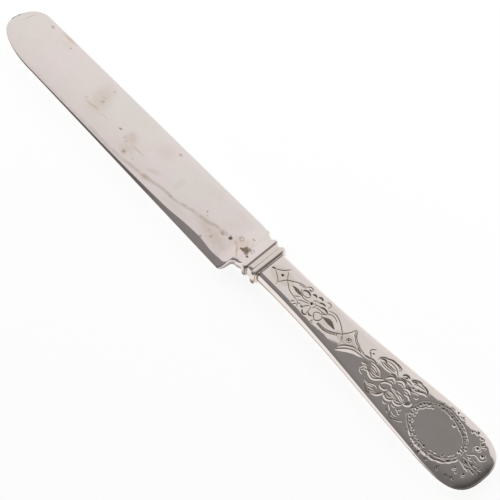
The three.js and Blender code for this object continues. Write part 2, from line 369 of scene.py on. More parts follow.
def startMaterial(name):
    material = bpy.data.materials.new(name)
    material.use_nodes = True
    tree = material.node_tree
    shader = tree.nodes["Principled BSDF"]
    shader.inputs["Metallic"].default_value = 1.0
    place = put(tree, "ShaderNodeTexCoord").outputs["Object"]
    back = knifePlace.inverted()
    # Object coordinates brought back to the maker's millimetres
    laid = put(tree, "ShaderNodeMapping", {
        "Vector": place,
        "Location": back.to_translation(),
        "Rotation": back.to_euler(),
        "Scale": back.to_scale(),
    })
    return material, tree, shader, laid.outputs[0]


def useGroup(tree, group, inputs):
    return put(tree, "ShaderNodeGroup", inputs, node_tree=group)


def addHairlines(tree, place, fineness):
    return useGroup(tree, hairlines, {"Vector": place, "Fineness": fineness}).outputs


def addTarnish(tree, place, sizes):
    return useGroup(tree, tarnish, {"Vector": place, **sizes}).outputs[0]


# the clean face's roughness and what each mask adds to it
def roughen(tree, shader, clean, *layers):
    rough = clean
    for mask, amount in layers:
        rough = plus(tree, rough, times(tree, mask, amount), clamp=True)
    tree.links.new(rough, shader.inputs["Roughness"])


def bumpInto(tree, shader, height, strength, depth):
    bump = put(tree, "ShaderNodeBump", {"Height": height, "Strength": strength, "Distance": depth})
    tree.links.new(bump.outputs[0], shader.inputs["Normal"])


silverLook = {
    "base": (0.885, 0.805, 0.77, 1.0),
    "warm": (0.83, 0.72, 0.66, 1.0),  # thin tarnish
    "clouds": {"Size": 0.09, "Start": 0.45, "End": 0.72},
    "specks": {"Size": 0.9, "Start": 0.62, "End": 0.74},
    "cloudTarnish": 0.55,  # how far wide clouds and small specks of it show
    "speckTarnish": 0.3,
    "thinGrimeAndShade": (0.7, 0.6, 0.51, 1.0),  # a film of dirt beside the cuts, also laid by faint painted shade
    "greyGrimeAndShade": (0.61, 0.56, 0.52, 1.0),  # the same film toward the butt
    "greyStart": -55.0,
    "greyFull": -66.0,
    "filmGain": 3.2,  # how soon a little dirt and painted shade make a full film
    "grimeAndShade": (0.115, 0.085, 0.065, 1.0),  # what fills the cuts, also the colour of painted shade on the walls
    "thickFrom": 0.25,  # dirt and painted shade from which it covers the film
    "thickFull": 0.97,
    "roughness": 0.012,
    "hairlineRoughness": 0.018,
    "grimeAndShadeRoughness": 0.4,
    "fineness": 5.0,  # of the hairlines
    "bump": {"strength": 0.012, "depth": 0.00001},
}


def makeSilver(name, look):
    material, tree, shader, place = startMaterial(name)
    scratch = addHairlines(tree, place, look["fineness"])
    # the grime attribute holds dirt in cuts and seams and painted shade on the lower and end walls
    grimeAndShade = put(tree, "ShaderNodeAttribute", attribute_name="grimeAndShade").outputs["Fac"]
    clouds = times(tree, addTarnish(tree, place, look["clouds"]), look["cloudTarnish"])
    specks = times(tree, addTarnish(tree, place, look["specks"]), look["speckTarnish"])
    plain = mixColour(tree, plus(tree, clouds, specks, clamp=True), look["base"], look["warm"])
    along = put(tree, "ShaderNodeSeparateXYZ", {0: place}).outputs["X"]
    greyer = remap(tree, along, look["greyStart"], look["greyFull"])
    # the film's colour, for dirt and for faint painted shade
    dirt = mixColour(tree, greyer, look["thinGrimeAndShade"], look["greyGrimeAndShade"])
    film = mixColour(tree, times(tree, grimeAndShade, look["filmGain"], clamp=True), plain, dirt)
    worn = mixColour(tree, remap(tree, grimeAndShade, look["thickFrom"], look["thickFull"]), film, look["grimeAndShade"])
    tree.links.new(worn, shader.inputs["Base Color"])
    hairs = scratch["Mask"], look["hairlineRoughness"]
    roughen(tree, shader, look["roughness"], hairs, (grimeAndShade, look["grimeAndShadeRoughness"]))
    bumpInto(tree, shader, scratch["Height"], **look["bump"])
    return material


bladeLook = {
    "base": (0.915, 0.81, 0.79, 1.0),
    "cool": (0.875, 0.82, 0.775, 1.0),
    "coolClouds": {"Size": 0.05, "Start": 0.35, "End": 0.7},
    "warm": (0.87, 0.755, 0.695, 1.0),
    "warmClouds": {"Size": 0.11, "Start": 0.5, "End": 0.75},
    "warmth": 0.5,
    "pale": (0.885, 0.83, 0.81, 1.0),  # the cooler strip along the spine
    "paleFrom": -6.0,
    "paleFull": -7.6,
    "paleness": 0.6,
    "dull": (0.78, 0.68, 0.655, 1.0),  # thin film toward the cutting edge
    "dullFull": 8.0,
    "dullness": 0.25,
    "stain": (0.65, 0.5, 0.37, 1.0),
    "tide": (0.5, 0.41, 0.36, 1.0),
    "rust": (0.23, 0.15, 0.085, 1.0),
    # dark colour of the bolster's groove dirt and of painted shade on the bevel, the heel wall and the
    # bolster's ends
    "grimeAndShade": (0.115, 0.09, 0.075, 1.0),
    "roughness": 0.1,
    "hairlineRoughness": 0.1,
    "spotRoughness": 0.45,
    "stainShare": 0.15,  # how rough a stain is beside a spot
    "fineness": 4.0,  # of the hairlines
    "bump": {"strength": 0.02, "depth": 0.00001},
    "ragged": 0.35,  # edges of all marks
    "spotSoft": 0.3,
    "stainSoft": 0.9,
    # faint soft stains: x, y, half length, half width, turn in degrees, strength
    "stains": (
        (16.5, 5.4, 10.2, 3.2, -8, 0.36), (7.4, 1.2, 4.6, 2.8, 30, 0.45), (57, 1.8, 3.5, 2.5, -40, 0.4),
        (55.5, 5.2, 3.8, 2.6, 0, 0.3), (73.6, -0.6, 4.2, 7.0, 20, 0.36), (95.6, -4.9, 3.2, 1.7, 0, 0.1),
        (44.3, 7.7, 2.5, 1.3, 10, 0.6), (44, 4.6, 3.5, 1.2, 18, 0.28), (35.4, 1.6, 1.3, 2.9, 0, 0.18),
        (42.7, -5.3, 1.3, 0.7, 0, 0.5), (96.6, -7.1, 3.8, 0.9, 0, 0.5), (103.3, -6, 1.2, 0.7, 0, 0.55),
        (46, -2.7, 4.4, 3.5, 0, 0.18), (55.4, 6.6, 1.6, 1.3, 0, 0.6), (31, 8, 8.7, 1.7, 5, 0.12),
        (73.6, 3.05, 3.8, 0.7, 7, 0.65), (69.2, 2.9, 3.5, 0.3, -2, 0.3), (53.2, 3.3, 4.9, 0.45, 0, 0.5),
        (111, -3.1, 2.9, 0.3, 75, 0.5), (8.9, 2.4, 1.6, 0.7, -20, 0.8), (7, 3.9, 3.6, 0.6, -48, 0.85),
        (14.3, 3.3, 1.4, 0.9, 0, 0.75),
    ),
    # dark spots and hollow rings, given in the same way
    "spots": (
        (11.3, 2.55, 0.8, 0.62, 30, 0.95), (11.6, 2, 0.45, 0.34, 0, 0.5), (6.4, 2.6, 0.6, 0.45, 0, 0.85),
        (5.6, 2.55, 0.95, 0.65, -20, 0.85), (4.8, 2, 1.45, 0.9, -35, 0.8),
        (4.1, 1.3, 0.9, 0.45, -35, 0.6), (4, 2.9, 0.9, 0.5, 20, 0.65), (3, 3.4, 0.62, 0.45, 0, 0.85),
        (22.7, 1.55, 0.35, 0.32, 0, 0.5), (21.8, 2.5, 0.4, 0.5, 0, 0.1), (15.75, 6.5, 0.5, 0.4, 0, 0.3),
        (17.8, 5.3, 0.54, 0.54, 0, 0.1), (14.2, 3.4, 0.7, 0.55, 0, 0.2), (18, 8.8, 0.54, 0.41, 0, 0.4),
        (5.9, -2.1, 0.62, 0.3, 0, 0.45), (61.95, 2.2, 0.8, 0.32, 15, 0.55),
        (57.6, 3.8, 0.32, 0.46, 0, 0.2), (55.4, 6.6, 0.6, 0.68, 0, 0.28), (51.7, 6.4, 0.46, 0.61, 0, 0.1),
        (72.8, 0, 0.68, 0.68, 0, 0.22), (73.3, -1.4, 0.94, 0.24, 20, 0.2),
        (72.9, -4.9, 0.68, 0.47, 0, 0.18), (93.7, -5.1, 0.35, 0.32, 0, 0.4),
        (34, 6.45, 0.68, 0.54, 0, 0.22), (42.7, -5.3, 0.41, 0.3, 0, 0.2),
        (103.3, -6, 0.41, 0.32, 0, 0.25),
    ),
    "rings": (
        (3.1, 1.1, 0.85, 0.8, 0, 0.65), (8.8, 0.2, 0.92, 0.86, 0, 0.55), (58.8, 3.1, 0.68, 0.61, 0, 0.35),
        (77.4, 2.7, 0.68, 0.41, 30, 0.26),
    ),
    # the wavy tide line: x and y along it
    "tideLine": (
        (96.5, 8.55), (84, 8.8), (66, 8.9), (58.7, 9), (50.2, 8.3), (42.3, 7.4), (37.3, 6.5), (34, 6.4),
        (29, 5.5), (25.1, 4.5), (20, 4), (17.5, 3), (12.2, 2.4),
    ),
    "tideWidth": 0.85,
    "tideStrength": 0.6,
    "tideFade": 60.0,  # it is full from this distance off its far end
    "tideFaint": 0.3,  # and so faint at that end
    "tideBefore": 0.5,  # it sets in from this far before its near end
    "tideAfter": 1.0,  # to this far after it
    "tideGrain": 0.5,  # of the noise that bends and breaks it
    "tideDetail": 4.0,
    "tideWobble": 0.9,
    "tideBreaks": (0.3, 0.55),  # that noise where it is broken and where it is whole
    "tideBroken": 0.35,  # what is left of it where it breaks
}


def tideMask(tree, place, look):
    points = sorted(look["tideLine"])
    near, far = points[0][0], points[-1][0]
    top = 10.0  # the curve's heights are given as shares of this
    axis = put(tree, "ShaderNodeSeparateXYZ", {0: place})
    wobble = put(tree, "ShaderNodeTexNoise", {
        "Vector": place, "Scale": look["tideGrain"], "Detail": look["tideDetail"],
    }).outputs["Fac"]
    curve = put(tree, "ShaderNodeFloatCurve", {"Value": remap(tree, axis.outputs["X"], near, far)})
    bend = curve.mapping.curves[0]
    bend.points[0].location = (0.0, points[0][1] / top)
    bend.points[1].location = (1.0, points[-1][1] / top)
    for x, y in points[1:-1]:
        bend.points.new((x - near) / (far - near), y / top)
    curve.mapping.update()
    away = math2(tree, "SUBTRACT", axis.outputs["Y"], times(tree, curve.outputs[0], top))
    away = plus(tree, away, times(tree, math2(tree, "SUBTRACT", wobble, 0.5), look["tideWobble"]))
    mark = remap(tree, math2(tree, "ABSOLUTE", away), look["tideWidth"], 0.0)
    fade = remap(tree, axis.outputs["X"], far, far - look["tideFade"], look["tideFaint"], 1.0)
    start = remap(tree, axis.outputs["X"], near - look["tideBefore"], near + look["tideAfter"])
    fade = times(tree, fade, start)
    broken = remap(tree, wobble, *look["tideBreaks"], look["tideBroken"], 1.0)
    return times(tree, times(tree, mark, fade), broken)


# All marks of one kind together, added to a mask that is there already
def markMask(tree, place, marks, ragged, soft, hollow=0.0, mask=None):
    for x, y, long, wide, turn, strength in marks:
        one = useGroup(tree, spot, {
            "Vector": place, "Centre": (x, y, 0.0), "Sizes": (long, wide, 1.0), "Turn": math.radians(turn),
            "Ragged": ragged, "Soft": soft, "Hollow": hollow,
        })
        part = times(tree, one.outputs[0], strength)
        mask = part if mask is None else math2(tree, "MAXIMUM", mask, part)
    return mask


def makeBladePlate(name, look):
    material, tree, shader, place = startMaterial(name)
    scratch = addHairlines(tree, place, look["fineness"])
    colour = mixColour(tree, addTarnish(tree, place, look["coolClouds"]), look["base"], look["cool"])
    warm = times(tree, addTarnish(tree, place, look["warmClouds"]), look["warmth"])
    colour = mixColour(tree, warm, colour, look["warm"])
    across = put(tree, "ShaderNodeSeparateXYZ", {0: place}).outputs["Y"]
    spineStrip = remap(tree, across, look["paleFrom"], look["paleFull"], 0.0, look["paleness"])
    colour = mixColour(tree, spineStrip, colour, look["pale"])
    edgeFilm = remap(tree, across, 0.0, look["dullFull"], 0.0, look["dullness"])
    colour = mixColour(tree, edgeFilm, colour, look["dull"])
    stains = markMask(tree, place, look["stains"], look["ragged"], look["stainSoft"])
    spots = markMask(tree, place, look["spots"], look["ragged"], look["spotSoft"])
    spots = markMask(tree, place, look["rings"], look["ragged"], look["spotSoft"], 1.0, spots)
    tide = times(tree, tideMask(tree, place, look), look["tideStrength"])
    # this mask is painted shade on the bevel and heel wall, and on the bolster dirt in the groove with
    # painted shade on its ends
    grimeAndShade = put(tree, "ShaderNodeAttribute", attribute_name="grimeAndShade").outputs["Fac"]
    colour = mixColour(tree, stains, colour, look["stain"])
    colour = mixColour(tree, tide, colour, look["tide"])
    colour = mixColour(tree, spots, colour, look["rust"])
    colour = mixColour(tree, grimeAndShade, colour, look["grimeAndShade"])
    tree.links.new(colour, shader.inputs["Base Color"])
    matt = math2(tree, "MAXIMUM", spots, times(tree, stains, look["stainShare"]))
    hairs = scratch["Mask"], look["hairlineRoughness"]
    roughen(tree, shader, look["roughness"], hairs, (matt, look["spotRoughness"]))
    bumpInto(tree, shader, scratch["Height"], **look["bump"])
    return material


solderLook = {
    "base": (0.42, 0.39, 0.36, 1.0),
    "dark": (0.2, 0.17, 0.145, 1.0),
    "roughness": 0.42,
    "pits": {"Size": 1.3, "Start": 0.45, "End": 0.65},
    "pitRoughness": 0.25,
    "fineness": 7.0,  # of the file's lines
    "bump": {"strength": 0.2, "depth": 0.00003},
}


def makeSolder(name, look):
    material, tree, shader, place = startMaterial(name)
    pits = addTarnish(tree, place, look["pits"])
    scratch = addHairlines(tree, place, look["fineness"])
    tree.links.new(mixColour(tree, pits, look["base"], look["dark"]), shader.inputs["Base Color"])
    roughen(tree, shader, look["roughness"], (pits, look["pitRoughness"]))
    bumpInto(tree, shader, scratch["Height"], **look["bump"])
    return material


resinLook = {
    "base": (0.04, 0.024, 0.016, 1.0),
    "dust": (0.12, 0.08, 0.055, 1.0),
    "lumps": {"Size": 0.5, "Start": 0.4, "End": 0.75},
    "roughness": 0.7,
    "dustRoughness": 0.2,
    "bump": {"strength": 0.5, "depth": 0.0002},
}


def makeResin(name, look):
    material, tree, shader, place = startMaterial(name)
    shader.inputs["Metallic"].default_value = 0.0
    lumps = addTarnish(tree, place, look["lumps"])
    tree.links.new(mixColour(tree, lumps, look["base"], look["dust"]), shader.inputs["Base Color"])
    roughen(tree, shader, look["roughness"], (lumps, look["dustRoughness"]))
    bumpInto(tree, shader, lumps, **look["bump"])
    return material


silver = makeSilver("bright cut silver", silverLook)
bladePlate = makeBladePlate("worn blade plate", bladeLook)
solder = makeSolder("filed solder", solderLook)
resin = makeResin("resin cement", resinLook)
print("materials ready")


# Blade: rings from the tongue in the cleft, out over the heel and along to the tip.
bladeSizes = {
    "reach": 114.35, "spine": 7.75, "edgeAtHeel": 12.0, "edgeAtTip": 9.15, "tipApex": 1.8,
    "tipSpineRound": 7.6, "tipEdgeRound": 19.0, "tipEdgePower": 2.2,
    "spineThickAtHeel": 2.3, "spineThickAtTip": 1.1, "edgeThick": 0.3, "spineEase": 0.3,
    # width of the hand-ground bevel at stations along the blade
    "bevel": (
        (4, 2.7), (8.2, 2.45), (12, 2.1), (18, 2.6), (25, 2.2), (32, 1.4), (45, 0.88), (60, 0.58), (75, 0.45),
        (90, 0.3), (116, 0.18),
    ),
    "bevelSpacing": 0.5, "bevelPower": 1.4, "bevelSlope": 0.66, "faceDrop": 0.12, "convexReach": 13.0,
    # at the tip, bevel and eased spine take at most one part in so many of the blade's width
    "bevelLimit": 3, "easeLimit": 6,
    # painted shade on the bevel, over a share of its width, between stations along the blade
    "edgeShade": 0.45, "edgeShadeShare": 0.9,
    "bevelShadeStart": 30.0, "bevelShadeFull": 48.0, "bevelShadeFade": 98.0, "bevelShadeGone": 108.0,
    # painted shade on the lower part of the heel's upright wall
    "heelShade": 0.75, "heelShadeFrom": 6.0, "heelShadeTop": 0.7, "heelShadeFade": 0.6,
    "neckReach": 4.3, "heelReach": 7.5, "heelCornerPull": 2.9, "heelNotchPull": 2.8, "heelFlat": 4.5,
    "spineStep": 4.9, "rootBlend": 1.4, "neckHalf": 7.0, "neckThick": 3.9, "faceFlat": 24.0, "endRound": 2.4,
    "tongueBack": 1.8, "tongueHalf": 4.5, "tongueThick": 1.8,
    "spineSteps": 5, "faceSteps": 18, "bevelSteps": 10, "heelSteps": 36, "bladeSteps": 70, "tipSteps": 44,
    "tipLast": 0.985,  # where the tip's last ring lies on its quarter turn
}


def makeBlade(name, size):
    tipSpineStart = size["reach"] - size["tipSpineRound"]
    tipEdgeStart = size["reach"] - size["tipEdgeRound"]
    grindLine = smoothPath(size["bevel"], size["bevelSpacing"])

    def spineAt(x):
        straight = mix(size["neckHalf"], size["spine"], ramp(x, size["neckReach"], size["spineStep"]))
        intoTip = max(0, (x - tipSpineStart) / size["tipSpineRound"])
        return size["tipApex"] - (straight + size["tipApex"]) * math.sqrt(1 - intoTip ** 2)

    def edgeAt(x):
        along = min(1, (x - size["heelReach"]) / (tipEdgeStart - size["heelReach"]))
        intoTip = max(0, (x - tipEdgeStart) / size["tipEdgeRound"])
        straight = mix(size["edgeAtHeel"], size["edgeAtTip"], along)
        power = size["tipEdgePower"]
        return size["tipApex"] + (straight - size["tipApex"]) * (1 - intoTip ** power) ** (1 / power)

    def bothSides(x, y, z):
        upper = np.column_stack([np.full_like(y, x), y, z])
        lower = upper[::-1] * (1, 1, -1)
        return np.vstack([upper, lower])

    def squared(share, flat=size["faceFlat"]):
        return np.clip(1 - np.abs(2 * share - 1) ** flat, 0, 1) ** (1 / size["endRound"])

    def section(x, edge):
        spine = spineAt(x)
        width = edge - spine
        bevel = min(np.interp(x, grindLine[:, 0], grindLine[:, 1]), width / size["bevelLimit"])
        along = max(0, (x - size["heelReach"]) / (size["reach"] - size["heelReach"]))
        spineHalf = mix(size["spineThickAtHeel"], size["spineThickAtTip"], along) / 2
        edgeHalf = size["edgeThick"] / 2
        ease = min(size["spineEase"], width / size["easeLimit"])
        faceDrop = size["faceDrop"] * min(1, width / size["edgeAtHeel"])
        turn = np.linspace(0, math.pi / 2, size["spineSteps"])
        face = 1 - (1 - np.linspace(0, 1, size["faceSteps"] + 1)[1:]) ** 2  # closer rings towards the bevel
        grind = np.linspace(0, 1, size["bevelSteps"] + 1)[1:]
        y = np.concatenate([
            spine + ease * (1 - np.cos(turn)),
            mix(spine + ease, edge - bevel, face),
            edge - bevel * (1 - grind),
        ])
        # the flat face bends down to the bevel's top
        bevelTop = min(edgeHalf + bevel * size["bevelSlope"], spineHalf - faceDrop)
        bend = np.clip(1 - (1 - face) * width / size["convexReach"], 0, 1) ** 2
        z = np.concatenate([
            spineHalf - ease * (1 - np.sin(turn)),
            spineHalf - faceDrop * face - (spineHalf - faceDrop - bevelTop) * bend,
            mix(edgeHalf, bevelTop, 1 - grind ** size["bevelPower"]),
        ])
        rooted = 1 - ramp(x, size["neckReach"], size["heelReach"] + size["rootBlend"])
        # the neck's flat face slopes more to the edge as the heel opens out
        opened = ramp(edge, size["neckHalf"], size["edgeAtHeel"])
        flat = mix(size["faceFlat"], size["heelFlat"], opened)
        neck = squared((y - spine) / width, flat) * size["neckThick"] / 2
        return bothSides(x, y, mix(z, neck, rooted))

    count = size["spineSteps"] + size["faceSteps"] + size["bevelSteps"]
    share = np.linspace(0, 1, count)
    tongueY = (2 * share - 1) * size["tongueHalf"]
    tongueZ = squared(share) * size["tongueThick"] / 2
    rings = [bothSides(size["tongueBack"], tongueY, tongueZ), bothSides(size["neckReach"], tongueY, tongueZ)]
    heel = np.array([
        (size["neckReach"], size["neckHalf"]),
        (size["neckReach"] + size["heelNotchPull"], size["neckHalf"]),
        (size["heelReach"] - size["heelCornerPull"], size["edgeAtHeel"]),
        (size["heelReach"], size["edgeAtHeel"]),
    ])
    for t in np.linspace(0, 1, size["heelSteps"], endpoint=False):
        x, edge = bezierPoint(heel, t)
        rings.append(section(x, edge))
    for x in np.linspace(size["heelReach"], tipEdgeStart, size["bladeSteps"], endpoint=False):
        rings.append(section(x, edgeAt(x)))
    for t in np.linspace(0, size["tipLast"], size["tipSteps"]):
        x = tipEdgeStart + size["tipEdgeRound"] * math.sin(t * math.pi / 2)
        rings.append(section(x, edgeAt(x)))
    piece = loftPiece(name, rings)
    x, y, z = pointsOf(piece).T
    edge = np.array([edgeAt(a) for a in np.clip(x, size["heelReach"], size["reach"])])
    bevel = np.interp(x, grindLine[:, 0], grindLine[:, 1])
    # painted shade on the bevel and on the lower part of the heel's upright wall
    onBevel = y > edge - size["edgeShadeShare"] * bevel
    along = ramp(x, size["bevelShadeStart"], size["bevelShadeFull"]) * ramp(x, size["bevelShadeGone"], size["bevelShadeFade"])
    onHeel = (x < size["heelReach"]) & (y > size["heelShadeFrom"])
    heelShade = size["heelShade"] * onHeel * smooth((size["heelShadeTop"] - z) / size["heelShadeFade"])
    paintGrimeAndShade(piece, np.maximum(size["edgeShade"] * along * onBevel, heelShade))
    return piece


blade = makeBlade("roundEndedBlade", bladeSizes)
finishPiece(blade, "blade", bladePlate, creaseAngle=26)


# Oval across the knife with flat faces and round ends, for the bolster and the collar.
def ovalRing(x, halfWidth, halfThick, faceFlat=24.0, endRound=2.4, count=96):
    angle = (np.arange(count) + 0.5) / count * 2 * math.pi
    across, up = np.cos(angle), np.sin(angle)
    y = np.sign(across) * np.abs(across) ** (2 / faceFlat) * halfWidth
    z = np.sign(up) * np.abs(up) ** (2 / endRound) * halfThick
    return np.column_stack([np.full_like(y, x), y, z])


bolsterSizes = {
    "neckReach": 4.3, "neckHalf": 7.0, "neckThick": 3.9, "neckHollow": 0.55, "neckEnd": 2.2, "neckSteps": 12,
    "knobRise": 0.7,  # how far the sides swell behind the neck
    "seatThick": 5.7,  # thickness that the neck rises to at the collar
    "grooveStart": 0.62, "grooveMiddle": 0.45, "lipFront": 0.3, "lipBack": 0.05,
    "grooveDrop": 0.28, "lipFrontDrop": 0.03, "lipBackDrop": 0.12,
    "cleftBack": 1.76, "cleftHalf": 4.54, "cleftThick": 1.88,
    "tangHalf": 2.2, "tangThick": 3.0, "tangEndHalf": 1.1, "tangEndThick": 1.6,
    "tangShoulder": -3.8, "tangEnd": -56.0,
    "grimeAndShade": ((0.4, 0.26, 0.72),),
}


def makeBolster(name, size):
    rings = [
        ovalRing(size["cleftBack"], size["cleftHalf"], size["cleftThick"] / 2),
        ovalRing(size["neckReach"], size["cleftHalf"], size["cleftThick"] / 2),
    ]

    def neckRing(x, drop=0.0):
        hollow = size["neckHollow"] * ramp(x, size["neckReach"], size["neckEnd"])
        swell = np.clip((size["neckEnd"] - x) / (size["neckEnd"] - size["lipBack"]), 0, 1)
        halfWidth = size["neckHalf"] - hollow + size["knobRise"] * math.sin(swell * math.pi)
        rise = ramp(x, size["neckReach"], size["grooveStart"])
        return ovalRing(x, halfWidth - drop, mix(size["neckThick"], size["seatThick"], rise) / 2 - drop)

    for x in np.linspace(size["neckReach"], size["neckEnd"], size["neckSteps"]):
        rings.append(neckRing(x))
    for x in np.linspace(size["neckEnd"], size["grooveStart"], size["neckSteps"])[1:]:
        rings.append(neckRing(x))
    rings.append(neckRing(size["grooveMiddle"], size["grooveDrop"]))
    rings.append(neckRing(size["lipFront"], size["lipFrontDrop"]))
    rings.append(neckRing((size["lipFront"] + size["lipBack"]) / 2))
    rings.append(neckRing(size["lipBack"], size["lipBackDrop"]))
    rings.append(ovalRing(size["lipBack"], size["tangHalf"], size["tangThick"] / 2))
    rings.append(ovalRing(size["tangShoulder"], size["tangHalf"], size["tangThick"] / 2))
    rings.append(ovalRing(size["tangEnd"], size["tangEndHalf"], size["tangEndThick"] / 2))
    piece = loftPiece(name, rings)
    # dirt in the groove and painted shade on the ends' lower walls
    paintGrimeAndShade(piece, grimeLinesAndEndShade(pointsOf(piece), size["grimeAndShade"]))
    return piece


bolster = makeBolster("beadedBolster", bolsterSizes)
finishPiece(bolster, "bolster", bladePlate, creaseAngle=34)


collarSizes = {
    "halfWidth": 6.15, "thickness": 5.4,
    "frontReed": 1.75, "frontRise": 0.3, "rearReed": 1.6, "rearRise": 0.52,
    "frontSide": 0.1, "rearSide": 0.85,  # how far the reeds' ends stand out
    "grooveRise": 0.14, "length": 3.8, "reedSteps": 18, "reedRoundness": 0.17, "sideRoundness": 0.55,
    # steps behind the rear reed: how far back, how far above the collar's ground
    "quirk": ((3.36, -0.06), (3.44, -0.15), (3.54, -0.14), (3.6, 0.02), (3.75, 0.02), (3.8, -0.1)),
    "spigotHalf": 4.78, "spigotThick": 4.16, "spigotEnd": 8.8, "boreHalf": 2.32, "boreThick": 3.24,
    "grimeAndShade": ((0.0, 0.14, 0.5), (-1.76, 0.1, 0.45), (-3.46, 0.1, 0.3), (-3.86, 0.08, 0.35)),
    "allOver": 0.06,
}


def makeCollar(name, size):
    rings = []

    def addRing(back, rise, side):
        rings.append(ovalRing(-back, size["halfWidth"] + side, size["thickness"] / 2 + rise))

    def addReed(start, length, footBefore, footAfter, crest, side):
        for turn in np.linspace(0, math.pi, size["reedSteps"]):
            foot = footBefore if turn < math.pi / 2 else footAfter
            lift = max(0.0, math.sin(turn))
            rise = foot + (crest - foot) * lift ** size["reedRoundness"]
            addRing(start + length * (1 - math.cos(turn)) / 2, rise, side * lift ** size["sideRoundness"])

    addReed(0, size["frontReed"], 0, size["grooveRise"], size["frontRise"], size["frontSide"])
    rings.pop()
    addReed(size["frontReed"], size["rearReed"], size["grooveRise"], 0, size["rearRise"], size["rearSide"])
    for back, rise in size["quirk"]:
        addRing(back, rise, rise)
    rings.append(ovalRing(-size["length"], size["spigotHalf"], size["spigotThick"] / 2))
    rings.append(ovalRing(-size["spigotEnd"], size["spigotHalf"], size["spigotThick"] / 2))
    rings.append(ovalRing(-size["spigotEnd"], size["boreHalf"], size["boreThick"] / 2))
    rings.append(ovalRing(0, size["boreHalf"], size["boreThick"] / 2))
    piece = loftPiece(name, rings, closeRound=True)
    # dirt in the grooves and all over, painted shade on the ends' lower walls
    paintGrimeAndShade(piece, np.maximum(grimeLinesAndEndShade(pointsOf(piece), size["grimeAndShade"]), size["allOver"]))
    return piece


collar = makeCollar("reededCollar", collarSizes)
finishPiece(collar, "collar", silver, creaseAngle=34)


# Handle: its outline runs back from the collar (u) with a half width, and its crown rises from that outline.
handleSizes = {
    "front": 3.8, "shellFront": 4.1, "reach": 95.9, "neckHalf": 5.5, "waistIn": 0.1, "buttHalf": 9.95,
    "roundLength": 13.0, "roundPower": 3.05, "neckPull": 35.5, "buttPull": 21.5,
    "thickAtCollar": 5.6, "thickAtButt": 4.2, "thinningEnd": 62.0, "flatCut": 0.12, "flatShare": 0.72,
    "crownAtCollar": 7.5, "crownAtButt": 6.0, "rimPower": 3.0, "wall": 0.6, "seamHalf": 0.15,
    # towards the butt the rim is rubbed softer from the edge side, and stays tight on the spine side
    "buttRimPower": 1.1, "buttSpinePower": 5.5, "softStart": 61.0, "softEnd": 80.0, "softFromSpine": -7.5,
    "softAcross": 5.5,
    # where the flat is worn narrower on the edge side
    "dip": 0.6, "dipAt": 31.5, "dipReach": 3.8, "dipBlend": 2.0,
    # dirt at the collar and along the seam, painted shade on the back shell's wall by the collar and on the
    # butt's end wall
    "frontSoil": 0.4, "frontSoilReach": 0.2,
    "seamSoil": 0.42, "seamSoilHigh": 0.4, "seamSoilEnd": 62.0,
    "startShade": 0.55, "startShadeReach": 5.5, "startShadeHigh": 1.5,
    "endShade": 0.62, "endShadeStart": 90.5, "endShadeFull": 93.5, "endShadeHigh": 1.4,
    # the butt is a little fuller on the edge side and its corners are rounder
    "edgeFull": 0.35, "fullStart": 66.0, "fullEnd": 82.0, "edgeRound": 2.85, "spineRound": 2.7,
}
roundStart = handleSizes["reach"] - handleSizes["roundLength"]


def handleOutline(inset=0.0, count=1500):
    size = handleSizes
    corners = np.array([
        (size["front"], size["neckHalf"]),
        (size["front"] + size["neckPull"], size["neckHalf"] - size["waistIn"]),
        (roundStart - size["buttPull"], size["buttHalf"]),
        (roundStart, size["buttHalf"]),
    ])
    t = np.linspace(0, 1, count)[:, None]
    flare = bezierPoint(corners, t) - (0, inset)
    turn = np.linspace(0, math.pi / 2, count)[1:]
    lift = 2 / size["roundPower"]
    along = roundStart + (size["roundLength"] - inset) * np.sin(turn) ** lift
    half = (size["buttHalf"] - inset) * np.clip(np.cos(turn), 0, 1) ** lift
    return np.vstack([flare, np.column_stack([along, half])])


outerLine = handleOutline()
innerLine = handleOutline(handleSizes["wall"])
outlineTree = kdtree.KDTree(len(outerLine))
for lineIndex, (lineU, lineHalf) in enumerate(outerLine):
    outlineTree.insert((lineU, lineHalf, 0), lineIndex)
outlineTree.balance()
outlineRun = np.gradient(outerLine, axis=0)
outlineRun /= np.linalg.norm(outlineRun, axis=1)[:, None]
outlineIn = np.column_stack([outlineRun[:, 1], -outlineRun[:, 0]])


def rimGap(u, y):
    near = np.array([outlineTree.find((a, abs(b), 0))[1] for a, b in zip(u, y)])
    away = np.column_stack([u, np.abs(y)]) - outerLine[near]
    return np.maximum(0, np.sum(away * outlineIn[near], axis=1))


# y on the worn butt for y on the even outline
def wornSide(u, y):
    size = handleSizes
    share = np.clip((u - roundStart) / size["roundLength"], 0, 0.9999)

    def roundHalf(power):
        return (1 - share ** power) ** (1 / power)

    fuller = ramp(u, size["fullStart"], size["fullEnd"])
    edge = roundHalf(size["edgeRound"]) * (1 + size["edgeFull"] / size["buttHalf"] * fuller)
    return y * np.where(y > 0, edge, roundHalf(size["spineRound"])) / roundHalf(size["roundPower"])


def crownHeight(u, y, gap, halfWidth, inset=0.0):
    size = handleSizes
    thinned = ramp(u, size["front"], size["thinningEnd"])
    half = mix(size["thickAtCollar"], size["thickAtButt"], thinned) / 2 - inset
    power = mix(size["crownAtCollar"], size["crownAtButt"], thinned)
    across = np.clip(1 - gap / np.maximum(halfWidth, 1e-6), 0, 1)
    softened = ramp(u, size["softStart"], size["softEnd"])
    fromSpine = smooth((y - size["softFromSpine"]) / size["softAcross"])
    rimPower = mix(size["rimPower"], mix(size["buttSpinePower"], size["buttRimPower"], fromSpine), softened)
    worn = size["dip"] * bell(u - size["dipAt"], size["dipReach"]) * smooth(y / size["dipBlend"])
    crest = half + size["flatCut"] * (1 - worn)
    return np.minimum(half, crest * (1 - across ** power) ** (1 / rimPower))


